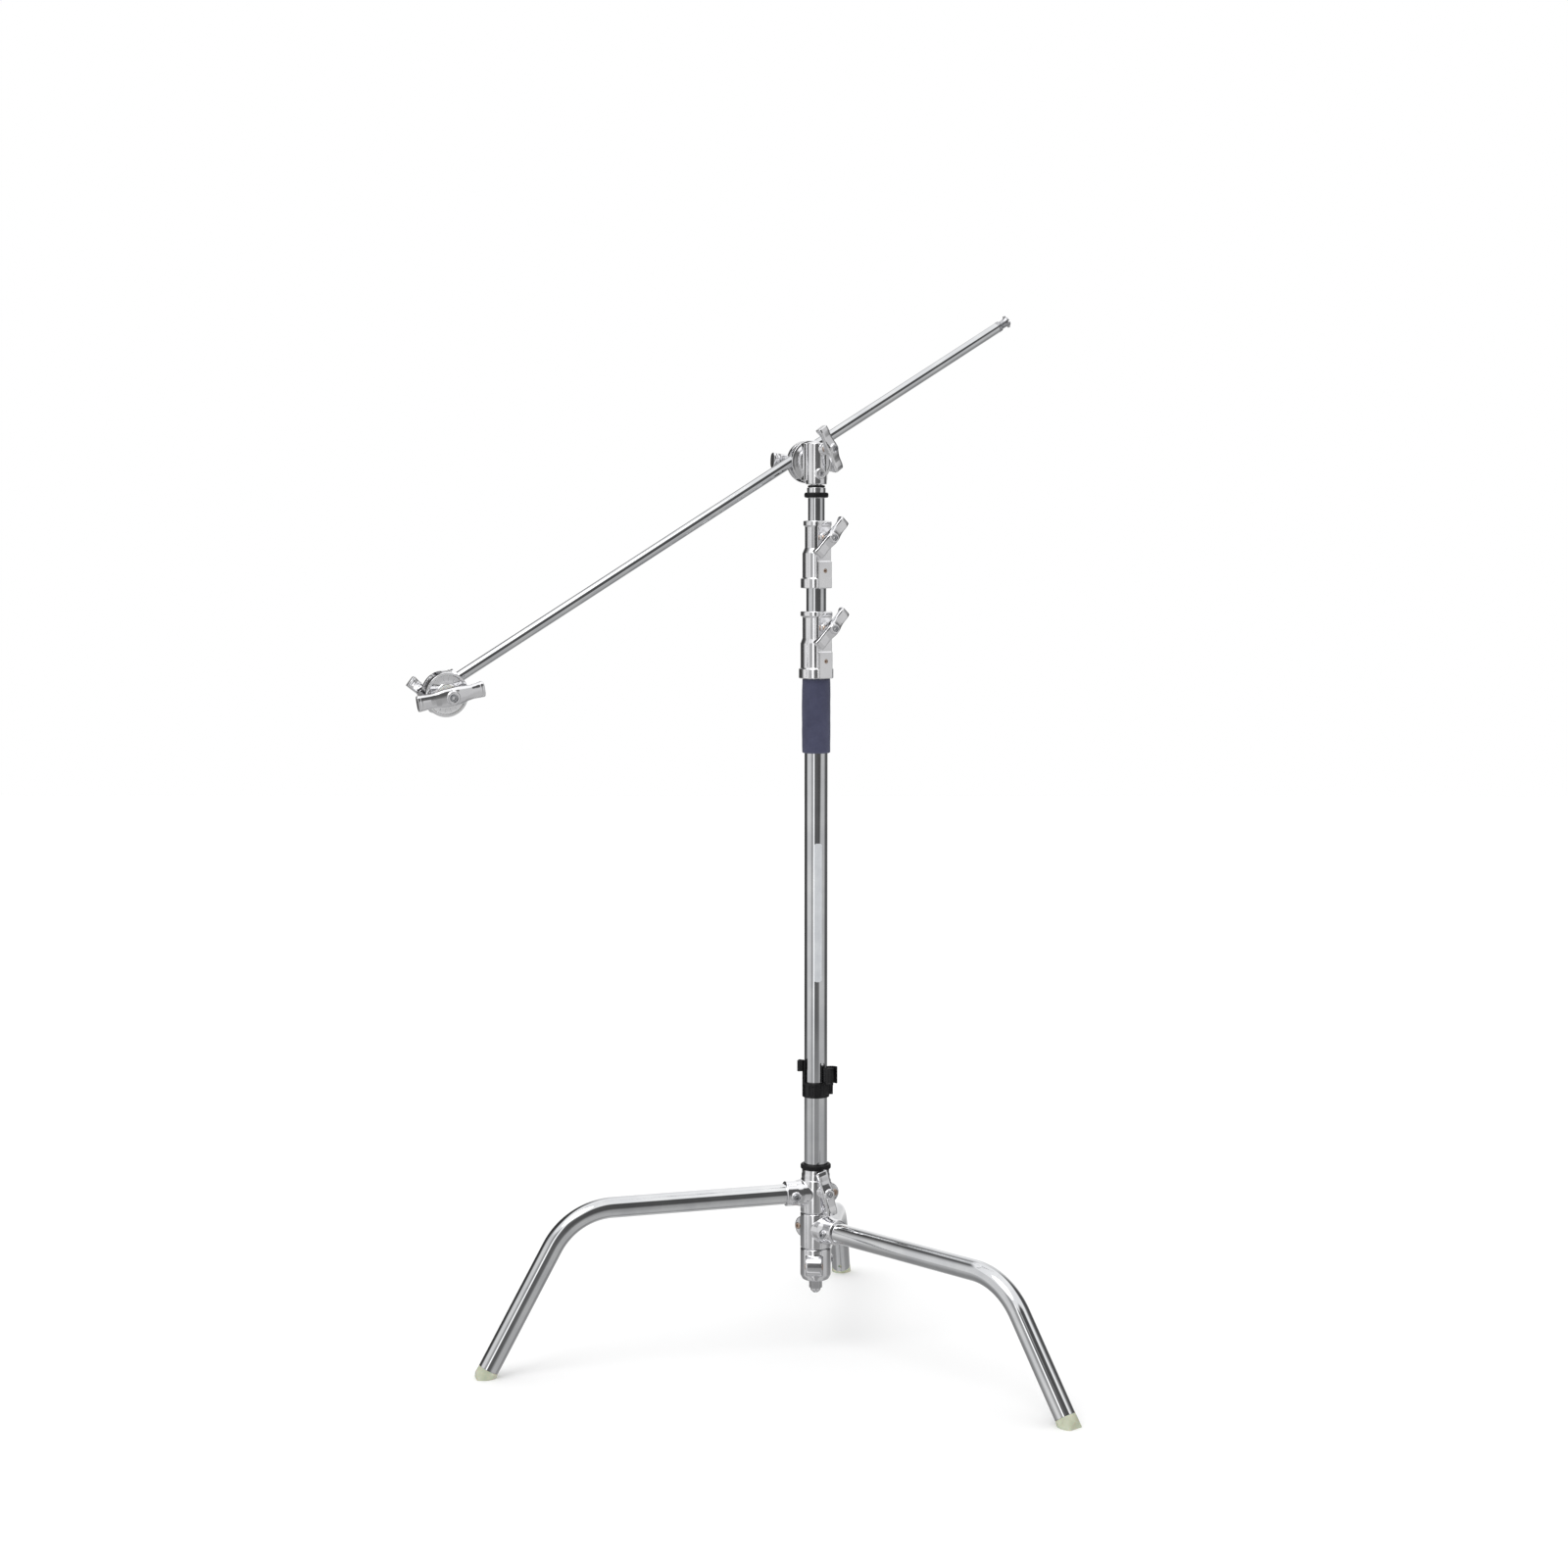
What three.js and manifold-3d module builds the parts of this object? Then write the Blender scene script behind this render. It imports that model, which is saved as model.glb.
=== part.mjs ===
// A light stand with a folding three-leg base, a three-section column, a grip head and a grip arm
// with a second head on its end. Units are millimetres, +Z is up, the column stands on the origin.
import * as THREE from "three";
import { mergeVertices } from "three/addons/utils/BufferGeometryUtils.js";
import Module from "manifold-3d";

const wasm = await Module();
wasm.setup();

// How finely round shapes are faceted.
const FINE = 16;
const MEDIUM = 12;
const COARSE = 8;
const HEXAGON = 6;
const WELD = 1e-4;
// Running gap between a part and the one that it turns or slides on.
const GAP = 0.3;
// How far a cutting tool runs past the face that it cuts.
const PAST = 1;
// Length of a drill that reaches from an axis out through any casting.
const DRILL = 40;

// Column tubes, by outer radius and wall.
const RISER_R = 17.5;
const SECOND_R = 15;
const THIRD_R = 12.5;
const TUBE_WALL = 1.5;
const RISER_BOTTOM = 128;
const PLUG_HEIGHT = 10;
const GUIDE_HEIGHT = 24;
const PRESS_GAP = 0.2;
const GUIDE_GAP = 0.25;
const SLIP = 0.15;

// Base: a sleeve that the three leg hubs are stacked on.
const SLEEVE_IN = 17.8;
const SLEEVE_OUT = 19.7;
const SLEEVE_TOP = 283;
const SLEEVE_FLOOR = 4;
const HUB_R = 23.4;
const HUB_BORE = 20.3;
const HUB_FLOOR = 111;
const HUB_SEAMS = [216.4, 162.2];
const HUB_SHOULDER = { height: 269, fall: 3 };
const NECK = { r: 20.9, band: 21.7, top: 276, fall: 1 };
const HUB_FILLET = 9;
const HUB_PLATE = 5.5;
const STUD_R = 5;
const NUT = { r: 10, bottom: 91, stud: 5, dome: 8, hexFrom: 8, bore: 4.6 };
const BASE_LOCK = { angle: -62, height: 252, slant: -75, out: 38, screwTo: 18.4, boss: 8.5, bossTo: 28 };

// Legs: compass angle, height at the column axis, bend, and the side that the cross bolt enters.
const LEG_R = 15.5;
const LEG_WALL = 1.6;
const LEG_SLOPE = 0.65;
const LEG_BEND_R = 105;
const LEG_BEND_STEPS = 5;
const LEG_START = 27;
const LEGS = [
  { name: "leg_1", angle: 196.3, height: 247, corner: 376.5, bend: 60.6, boltSide: 1 },
  { name: "leg_2", angle: 314.4, height: 192, corner: 382.5, bend: 55.8, boltSide: -1 },
  { name: "leg_3", angle: 84.7, height: 137.5, corner: 384, bend: 56.5, boltSide: -1 },
];
const SOCKET = { root: 20.6, rootTo: 24, r: 19, from: 32, to: 47, end: 49, chamfer: 1.2 };
const LEG_BOLT = { at: 36, drop: -2, boss: 6.8, bossTo: 21.5, from: 16.4, shank: 4 };
const BOLT_HEAD = { r: 5.4, under: 21.9, top: 23.8, edge: 0.8, key: 2.6, keyFrom: 21 };
const LUG = { r: 16, length: 25, at: 17 };
const LUG_PIN = { at: 26.2, r: 5, half: 13.6, edge: 0.7, hole: 5.2, key: 2.4, keyDepth: 1 };
// Height above the floor at which the square-cut tube meets its foot, measured on the centreline.
const FOOT_CUT = 12.5;
const FOOT = { r: 16.2, plug: 18, lead: 1, leadLength: 2, collar: 6, length: 40, toe: 1.5 };
const LEG_HOLE = { r: 3, fromEnd: 12, reach: 30 };

// Lock handles, with the screw axis along +Y and the wings along X.
const LOCK = { half: 37, hub: 9.5, waist: 7.4, tip: 8.6, flat: 0.72, boss: 7.6, back: 7.6, reach: 9 };
const MAIN = { half: 50, hub: 13.2, waist: 10.4, tip: 11.6, flat: 0.6, boss: 9, back: 9.2, reach: 11 };
const WING = { waistFrom: 0.45, waistTo: 0.72, lip: 4, sweep: 6, key: 0.45, keyDepth: 4 };
const SHANK_R = 4;
const SCREW_HOLE_R = 4.6;

// Collars that clamp one section on the next.
const COLLARS = [
  {
    name: "collar_1",
    bottom: 1026.6,
    lower: 23.6,
    upper: 20.7,
    foot: 26.1,
    crown: 23.6,
    holds: RISER_R,
    guides: SECOND_R,
    face: 26.4,
  },
  {
    name: "collar_2",
    bottom: 1160.6,
    lower: 20.8,
    upper: 17.2,
    foot: 23.4,
    crown: 19.4,
    holds: SECOND_R,
    guides: THIRD_R,
    face: 24,
  },
];
const COLLAR = { height: 100, foot: 15, step: 52, taper: 8, crown: 8, edge: 1 };
const PAD = { angle: -56, width: 24, step: 2, plateTop: 40, capStep: 0.6, boss: 8, bossStep: 1.2 };
const LINER = { outer: 2.2, inner: 0.35, pocket: 2.4, way: 0.4, from: 2, top: 6 };
const COLLAR_LOCK = { height: 75, slant: 47, out: 17, screwTo: 0.8 };
const SET_SCREW = { height: 26, hole: 3.3, r: 3.1, key: 1.7, keyDepth: 3.4, sunk: 0.6 };

// Column fittings by height.
const FOAM = { bottom: 915, top: 1026, outer: 21.6, edge: 2 };
const LABEL = { bottom: 571, top: 780, angle: -80, half: 19, thick: 0.5, lift: 0.1, steps: 4 };
const BASE_RING = { bottom: 283.4, top: 291, inner: 17.75, outer: 23, soft: 2.4 };
const CAP = { bottom: 1294, plug: 30, band: 14, bandTop: 1309.5, neck: 10.4, top: 1313.4 };
const STUD = { r: 7.95, top: 1366, edge: 1.2, groove: 1.6, grooveFrom: 1346, grooveTo: 1355, flank: 1.5 };
const BUMPER = { bottom: 1294.6, top: 1302.2, inner: 14.1, outer: 18, soft: 2.6 };
const SEAL = { bottom: 1309.7, top: 1313, inner: 10.5, outer: 13, soft: 1.2 };

// Clip on the riser: a snap ring, a wide hook for the arm on a root, and a small one on a strip.
const CLIP = { bottom: 394, height: 23, inner: 17.9, outer: 20.6, mouth: 90, facing: 70, steps: 7 };
const WIDE_HOOK = { inner: 8.3, outer: 10.7, height: 26, mouth: 100, facing: -22 };
const WIDE_HOOK_AT = { out: 9.7, angle: -40, sunk: 0.5 };
const HOOK_ROOT = { half: 5, inward: 2, outward: 1.6, from: 6, to: 47 };
const CLIP_TAB = { half: 3.8, thick: 1.6, down: 14, up: 2, out: 15.9, angle: -53 };
const CLIP_STRIP = { half: 4.5, inset: 0.2, from: 21, to: 57, angle: 202 };
const SMALL_HOOK = { inner: 3.4, outer: 5.4, height: 17, mouth: 100, facing: 170 };
const SMALL_HOOK_AT = { out: 4.6, angle: 196, height: 40 };

// Grip heads: origin on the pin axis at the height of the clamp bolt, +Y along the bolt, +Z away
// from the mouth of the pin socket.
const JAW = { r: 32, thick: 9, gap: 7, centre: 26.2, edge: 0.8 };
const JAW_BACK = { r: 25, edge: 29, step: 2.4, rimStep: 3.4 };
const JAW_RECESS = { outer: 27.6, inner: 17.4, depth: 1.4, flank: 1, rim: 1 };
const NOTCH = { wide: 8.15, narrow: 4.5, offset: 15.6, past: 5 };
const ROD_R = 7.95;
const ROD_WALL = 2;
const BOLT_R = 6;
const BOLT_WAY = 0.4;
const BODY = { top: 27, mouth: -34, r: 15.6, edge: 1, topEdge: 2, roof: 7 };
const FLANGE = { half: 19, from: 2, near: 6, far: 13.2, rise: 6, back: 24, boltDepth: 3.6 };
const BODY_LOCK = { boss: 8.4, bossTo: 20, out: 31, screwGap: 0.3 };
const LOW_BOSS = { z: -18, r: 7.4, to: 19.5, hole: 3.4 };
const PIN_BORE = 8.15;
const MAIN_AT = 56;
const WASHER = { near: 39, far: 42.4, r: 15 };
const THRUST = { near: 42.7, far: 46.2, r: 10 };
const HEADS = {
  stand: { lockAngle: -68.5, lockHeight: 18, lockSlant: -60, mainSlant: 3, jawTurn: -31.1 },
  end: { lockAngle: -72, lockHeight: 9, lockSlant: -20, mainSlant: 70, jawTurn: 24 },
};

// Grip arm: its rise, the compass angle of its clamp bolt, and distances along it from the column.
const ARM_ELEVATION = 31.1;
const BOLT_ANGLE = 113.55;
const HEAD_HEIGHT = 1348;
const END_HEAD_AT = -662;
const END_HEAD_ROLL = -8;
const ARM_TIP_AT = 374;
const ARM_END_IN_SOCKET = 15;
const TIP = { neck: 6.2, neckFrom: 7, band: 5, length: 21, flare: 7.6, flareFrom: 14, flareTo: 18 };
const TIP_EARS = { half: 9.4, thick: 2, from: 17, to: 20.4, slot: 1.2, slotFrom: 18 };

const rad = THREE.MathUtils.degToRad;

const LOOKS = {
  chrome: { color: 0xd6d8dc, roughness: 0.12, metalness: 1 },
  cast: { color: 0xc9cacd, roughness: 0.26, metalness: 1 },
  steel: { color: 0x9b9ca0, roughness: 0.34, metalness: 1 },
  brass: { color: 0xc08a5c, roughness: 0.32, metalness: 1 },
  rubber: { color: 0x0c0c0e, roughness: 0.7, metalness: 0 },
  plastic: { color: 0x101012, roughness: 0.5, metalness: 0 },
  nylon: { color: 0xd8d8d2, roughness: 0.5, metalness: 0 },
  foam: { color: 0x4b4d62, roughness: 0.95, metalness: 0 },
  foot: { color: 0xb7bba3, roughness: 0.4, metalness: 0 },
  label: { color: 0xc9ccd0, roughness: 0.35, metalness: 0 },
};

// A manifold solid from any closed three.js geometry.
function solid(geometry) {
  const flat = geometry.index ? geometry.toNonIndexed() : geometry;
  const bare = new THREE.BufferGeometry();
  bare.setAttribute("position", flat.getAttribute("position"));
  const merged = mergeVertices(bare, WELD);
  const mesh = new wasm.Mesh({
    numProp: 3,
    vertProperties: merged.attributes.position.array,
    triVerts: new Uint32Array(merged.index.array),
  });
  return new wasm.Manifold(mesh);
}

// A solid turned about +Z from [radius, height] corners listed upwards along the outside.
function turned(corners, sides = FINE) {
  const points = corners.map(([r, z]) => new THREE.Vector2(r, z));
  const geometry = new THREE.LatheGeometry(points, sides);
  geometry.rotateX(Math.PI / 2);
  return solid(geometry);
}

function disc(r, from, to, sides = FINE) {
  return turned([[0, from], [r, from], [r, to], [0, to]], sides);
}

function pipe(outer, inner, from, to, sides = FINE) {
  return turned([[inner, from], [outer, from], [outer, to], [inner, to], [inner, from]], sides);
}

function box(low, high) {
  const size = high.map((v, i) => v - low[i]);
  const geometry = new THREE.BoxGeometry(...size);
  geometry.translate(...high.map((v, i) => (v + low[i]) / 2));
  return solid(geometry);
}

// Moves a solid by a matrix.
function placed(shape, matrix) {
  return shape.transform(matrix.elements);
}

function shifted(shape, x, y, z) {
  return placed(shape, new THREE.Matrix4().makeTranslation(x, y, z));
}

function turnedZ(shape, degrees) {
  return placed(shape, new THREE.Matrix4().makeRotationZ(rad(degrees)));
}

// Lays a solid made along +Z down along +X, -X, +Y or -Y.
function laid(shape, axis) {
  const target = new THREE.Vector3(...axis);
  const turn = new THREE.Quaternion().setFromUnitVectors(new THREE.Vector3(0, 0, 1), target);
  return placed(shape, new THREE.Matrix4().makeRotationFromQuaternion(turn));
}

function node(parent, name, shape, look) {
  const made = shape.getMesh();
  const geometry = new THREE.BufferGeometry();
  geometry.setAttribute("position", new THREE.BufferAttribute(new Float32Array(made.vertProperties), 3));
  geometry.setIndex(new THREE.BufferAttribute(new Uint32Array(made.triVerts), 1));
  const mesh = new THREE.Mesh(geometry, new THREE.MeshStandardMaterial(LOOKS[look]));
  mesh.name = name;
  parent.add(mesh);
}

// ---- Lock handles ----

// A two-winged handle in its own frame: wings along X, screw along -Y, boss towards +Y.
function wingHandle(size) {
  const profile = [
    [0, 0],
    [size.hub, 0],
    [size.waist, size.half * WING.waistFrom],
    [size.waist, size.half * WING.waistTo],
    [size.tip, size.half - WING.lip],
    [size.tip, size.half],
    [0, size.half],
  ];
  const squash = new THREE.Matrix4().makeScale(1, size.flat, 1);
  const wing = placed(laid(turned(profile, COARSE), [1, 0, 0]), squash);
  const right = turnedZ(wing, -WING.sweep);
  const left = turnedZ(wing, 180 + WING.sweep);
  const boss = laid(disc(size.boss, -size.back, size.reach, MEDIUM), [0, 1, 0]);
  const key = disc(size.boss * WING.key, size.reach - WING.keyDepth, size.reach + PAST, HEXAGON);
  return left.add(right).add(boss).subtract(laid(key, [0, 1, 0]));
}

// A lock handle with its screw, turned in its own plane and pushed out along +Y.
function lockHandle(outwards, screwTo, slant) {
  const wings = shifted(wingHandle(LOCK), 0, outwards, 0);
  const screw = laid(disc(SHANK_R, screwTo, outwards, COARSE), [0, 1, 0]);
  return placed(wings.add(screw), new THREE.Matrix4().makeRotationY(rad(slant)));
}

// A drill of the given radius from the Z axis out along the compass angle at a height.
function sideHole(r, angle, height) {
  const hole = laid(disc(r, 0, DRILL, COARSE), [1, 0, 0]);
  return shifted(turnedZ(hole, angle), 0, 0, height);
}

// ---- Base ----

function legGroup(parent, leg) {
  const group = new THREE.Group();
  group.rotation.z = rad(leg.angle);
  group.position.z = leg.height;
  parent.add(group);
  return group;
}

// The centreline of a leg in the plane of its own angle, as distance out and height.
function legPath(leg) {
  const slope = rad(LEG_SLOPE);
  const fall = rad(LEG_SLOPE + leg.bend);
  const tangent = LEG_BEND_R * Math.tan((fall - slope) / 2);
  const cornerDrop = -leg.corner * Math.tan(slope);
  const centreX = leg.corner - tangent * Math.cos(slope) - LEG_BEND_R * Math.sin(slope);
  const centreZ = cornerDrop + tangent * Math.sin(slope) - LEG_BEND_R * Math.cos(slope);
  const points = [new THREE.Vector3(LEG_START, 0, -LEG_START * Math.tan(slope))];
  for (let i = 0; i <= LEG_BEND_STEPS; i += 1) {
    const a = Math.PI / 2 - slope - ((fall - slope) * i) / LEG_BEND_STEPS;
    const x = centreX + LEG_BEND_R * Math.cos(a);
    const z = centreZ + LEG_BEND_R * Math.sin(a);
    points.push(new THREE.Vector3(x, 0, z));
  }
  const last = points[points.length - 1];
  const run = (last.z + leg.height - FOOT_CUT) / Math.sin(fall);
  const along = new THREE.Vector3(Math.cos(fall), 0, -Math.sin(fall));
  const end = last.clone().addScaledVector(along, run);
  points.push(end);
  return { points, fall, along, end };
}

// A tube swept through points that lie in the XZ plane, open at both ends.
function swept(points, outer, inner, sides) {
  const beyond = points.map((p) => p.clone());
  const first = points[0].clone().sub(points[1]).normalize();
  const last = points[points.length - 1].clone().sub(points[points.length - 2]).normalize();
  beyond[0].add(first);
  beyond[points.length - 1].add(last);
  return sweptSolid(points, outer, sides).subtract(sweptSolid(beyond, inner, sides));
}

function sweptSolid(points, r, sides) {
  const rings = points.map((p, i) => {
    const before = points[Math.max(i - 1, 0)];
    const after = points[Math.min(i + 1, points.length - 1)];
    return { p, along: after.clone().sub(before).normalize() };
  });
  return solid(sweptShell(rings, r, sides));
}

// The corners of a round sweep, ring by ring, with the middle of each end last.
function sweptCorners(rings, r, sides) {
  const corners = [];
  const across = new THREE.Vector3(0, 1, 0);
  for (const { p, along } of rings) {
    const up = new THREE.Vector3().crossVectors(along, across);
    for (let k = 0; k < sides; k += 1) {
      const a = (2 * Math.PI * k) / sides;
      const at = p.clone().addScaledVector(across, r * Math.cos(a)).addScaledVector(up, r * Math.sin(a));
      corners.push(at.x, at.y, at.z);
    }
  }
  corners.push(...rings[0].p.toArray(), ...rings[rings.length - 1].p.toArray());
  return corners;
}

// The closed skin of a round sweep: rings of corners joined by quads, with a fan at each end.
function sweptShell(rings, r, sides) {
  const first = rings.length * sides;
  const tail = first - sides;
  const faces = [];
  for (let k = 0; k < sides; k += 1) {
    const next = (k + 1) % sides;
    for (let row = 0; row < tail; row += sides) {
      const a = row + k;
      const b = row + next;
      faces.push(a, b, b + sides, a, b + sides, a + sides);
    }
    faces.push(first, next, k, first + 1, tail + k, tail + next);
  }
  const corners = new Float32Array(sweptCorners(rings, r, sides));
  const geometry = new THREE.BufferGeometry();
  geometry.setAttribute("position", new THREE.BufferAttribute(corners, 3));
  geometry.setIndex(faces);
  return geometry;
}

// Moves a solid made along +Z to the cross bolt of a leg, in the leg's own frame.
function atLegBolt(leg, shape) {
  return shifted(laid(shape, [0, leg.boltSide, 0]), LEG_BOLT.at, 0, LEG_BOLT.drop);
}

// The socket, cross bolt boss and opposite lug of a hub, in the frame of its own leg.
function hubArms(leg) {
  const socket = turned([
    [0, 0],
    [SOCKET.root, 0],
    [SOCKET.root, SOCKET.rootTo],
    [SOCKET.r, SOCKET.from],
    [SOCKET.r, SOCKET.to],
    [SOCKET.r - SOCKET.chamfer, SOCKET.end],
    [0, SOCKET.end],
  ]);
  const boss = atLegBolt(leg, disc(LEG_BOLT.boss, 0, LEG_BOLT.bossTo, MEDIUM));
  const lug = laid(disc(LUG.r, -LUG.length / 2, LUG.length / 2), [0, 1, 0]);
  return laid(socket, [1, 0, 0]).add(boss).add(shifted(lug, -LUG.at, 0, 0));
}

// Everything that a hub's own leg, bolt and lug pin take out of it.
function hubCuts(leg) {
  const tilt = new THREE.Matrix4().makeRotationY(rad(LEG_SLOPE));
  const way = disc(LEG_R + SLIP, LEG_START - PAST, SOCKET.end + DRILL, MEDIUM);
  const hole = atLegBolt(leg, disc(SCREW_HOLE_R, SOCKET.r / 2, DRILL, COARSE));
  const pivot = laid(disc(LUG_PIN.hole, -LUG.length, LUG.length, COARSE), [0, 1, 0]);
  return placed(laid(way, [1, 0, 0]), tilt).add(hole).add(shifted(pivot, -LUG_PIN.at, 0, 0));
}

// A hub: its turned barrel with the arms of its own leg, less the leg's cuts and the sleeve bore.
function hubShell(leg, corners) {
  const lift = new THREE.Matrix4().makeRotationZ(rad(leg.angle)).setPosition(0, 0, leg.height);
  const through = disc(HUB_BORE, HUB_FLOOR + HUB_PLATE, SLEEVE_TOP + PAST);
  return turned(corners)
    .add(placed(hubArms(leg), lift))
    .subtract(placed(hubCuts(leg), lift))
    .subtract(through);
}

function topHub(leg) {
  const seam = HUB_SEAMS[0] + GAP / 2;
  const shell = hubShell(leg, [
    [0, seam],
    [HUB_R, seam],
    [HUB_R, HUB_SHOULDER.height - HUB_SHOULDER.fall],
    [NECK.band, HUB_SHOULDER.height],
    [NECK.band, NECK.top - NECK.fall],
    [NECK.r, NECK.top],
    [NECK.r, SLEEVE_TOP],
    [0, SLEEVE_TOP],
  ]);
  const boss = laid(disc(BASE_LOCK.boss, SLEEVE_IN, BASE_LOCK.bossTo, MEDIUM), [1, 0, 0]);
  const through = disc(HUB_BORE, HUB_FLOOR, SLEEVE_TOP);
  const lockBoss = shifted(turnedZ(boss, BASE_LOCK.angle), 0, 0, BASE_LOCK.height);
  return shell.add(lockBoss.subtract(through)).subtract(baseLockHole());
}

function middleHub(leg) {
  const top = HUB_SEAMS[0] - GAP / 2;
  const bottom = HUB_SEAMS[1] + GAP / 2;
  return hubShell(leg, [[0, bottom], [HUB_R, bottom], [HUB_R, top], [0, top]]);
}

function bottomHub(leg) {
  const top = HUB_SEAMS[1] - GAP / 2;
  const shell = hubShell(leg, [
    [0, HUB_FLOOR],
    [HUB_R - HUB_FILLET, HUB_FLOOR],
    [HUB_R - HUB_FILLET / 3, HUB_FLOOR + HUB_FILLET / 3],
    [HUB_R, HUB_FLOOR + HUB_FILLET],
    [HUB_R, top],
    [0, top],
  ]);
  return shell.subtract(disc(STUD_R + GAP, HUB_FLOOR - PAST, HUB_FLOOR + HUB_PLATE + PAST, MEDIUM));
}

function baseLockHole() {
  return sideHole(SCREW_HOLE_R, BASE_LOCK.angle, BASE_LOCK.height);
}

// The sleeve that the riser drops into, with the stud below it that the cap nut closes.
function addSleeve(base) {
  const floor = HUB_FLOOR + HUB_PLATE + GAP;
  const rim = SLEEVE_TOP - GAP - SLIP;
  const sleeve = turned([
    [0, NUT.bottom + NUT.stud],
    [STUD_R, NUT.bottom + NUT.stud],
    [STUD_R, floor],
    [SLEEVE_OUT, floor],
    [SLEEVE_OUT, rim],
    [SLEEVE_IN, rim],
    [SLEEVE_IN, floor + SLEEVE_FLOOR],
    [0, floor + SLEEVE_FLOOR],
  ]);
  node(base, "base_sleeve", sleeve.subtract(baseLockHole()), "steel");
}

// The domed nut under the base, hexagonal above its dome.
function addCapNut(base) {
  const { bottom, dome, hexFrom } = NUT;
  const cap = turned(
    [
      [0, bottom],
      [dome / 2, bottom + dome / 10],
      [dome, bottom + dome / 2],
      [dome, bottom + hexFrom + PAST],
      [0, bottom + hexFrom + PAST],
    ],
    MEDIUM,
  );
  const hex = disc(NUT.r, bottom + hexFrom, HUB_FLOOR - GAP, HEXAGON);
  const bore = disc(STUD_R + PRESS_GAP, bottom + NUT.bore, HUB_FLOOR);
  node(base, "base_cap_nut", cap.add(hex).subtract(bore), "cast");
}

function addLeg(base, leg) {
  const group = legGroup(base, leg);
  const { points, fall, along, end } = legPath(leg);
  const drill = laid(disc(LEG_HOLE.r, -LEG_HOLE.reach, 0, COARSE), [Math.sin(fall), 0, Math.cos(fall)]);
  const at = end.clone().addScaledVector(along, -LEG_HOLE.fromEnd);
  const tube = swept(points, LEG_R, LEG_R - LEG_WALL, MEDIUM).subtract(shifted(drill, ...at));
  node(group, `${leg.name}_tube`, tube, "chrome");
  node(group, `${leg.name}_foot`, footShape(leg, fall, end), "foot");
  node(group, `${leg.name}_bolt`, atLegBolt(leg, legBolt()), "steel");
  node(group, `${leg.name}_lug_pin`, lugPin(), "brass");
}

// A soft plug in the square-cut end of a leg, finished flat on the floor.
function footShape(leg, fall, end) {
  const inner = LEG_R - LEG_WALL - PRESS_GAP;
  const plug = turned(
    [
      [0, -FOOT.plug],
      [inner - FOOT.lead, -FOOT.plug],
      [inner, -FOOT.plug + FOOT.leadLength],
      [inner, PRESS_GAP],
      [LEG_R, PRESS_GAP],
      [FOOT.r, FOOT.collar],
      [FOOT.r, FOOT.length],
      [0, FOOT.length],
    ],
    MEDIUM,
  );
  const turn = new THREE.Matrix4().makeRotationY(Math.PI / 2 + fall).setPosition(end);
  const floor = -leg.height;
  const wide = 2 * FOOT.length;
  const toe = end.x + FOOT.r / Math.sin(fall) + FOOT.toe;
  const below = box([0, -wide, floor - wide], [toe + wide, wide, floor]);
  const beyond = box([toe, -wide, floor - wide], [toe + wide, wide, floor + wide]);
  return placed(plug, turn).subtract(below).subtract(beyond);
}

// A socket-head bolt along +Z, measured from the leg's centreline.
function legBolt() {
  const { r, under, top, edge } = BOLT_HEAD;
  const body = turned(
    [
      [0, LEG_BOLT.from],
      [LEG_BOLT.shank, LEG_BOLT.from],
      [LEG_BOLT.shank, under],
      [r, under],
      [r, top - edge],
      [r - edge, top],
      [0, top],
    ],
    MEDIUM,
  );
  return body.subtract(disc(BOLT_HEAD.key, BOLT_HEAD.keyFrom, top + PAST, HEXAGON));
}

function lugPin() {
  const { r, half, edge, key, keyDepth } = LUG_PIN;
  const body = turned(
    [
      [0, -half],
      [r - edge, -half],
      [r, edge - half],
      [r, half - edge],
      [r - edge, half],
      [0, half],
    ],
    COARSE,
  );
  const nearKey = disc(key, half - keyDepth, half + PAST, HEXAGON);
  const farKey = disc(key, -half - PAST, keyDepth - half, HEXAGON);
  return shifted(laid(body.subtract(nearKey).subtract(farKey), [0, 1, 0]), -LUG_PIN.at, 0, 0);
}

function addBaseLock(base) {
  const group = new THREE.Group();
  group.rotation.z = rad(BASE_LOCK.angle - 90);
  group.position.z = BASE_LOCK.height;
  base.add(group);
  node(group, "base_handle", lockHandle(BASE_LOCK.out, BASE_LOCK.screwTo, BASE_LOCK.slant), "cast");
}

function addBase(root) {
  const [top, middle, bottom] = LEGS;
  node(root, "hub_top", topHub(top), "cast");
  node(root, "hub_middle", middleHub(middle), "cast");
  node(root, "hub_bottom", bottomHub(bottom), "cast");
  addSleeve(root);
  addCapNut(root);
  node(root, "base_ring", ringOf(BASE_RING), "rubber");
  LEGS.forEach((leg) => addLeg(root, leg));
  addBaseLock(root);
}

// ---- Column ----

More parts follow.
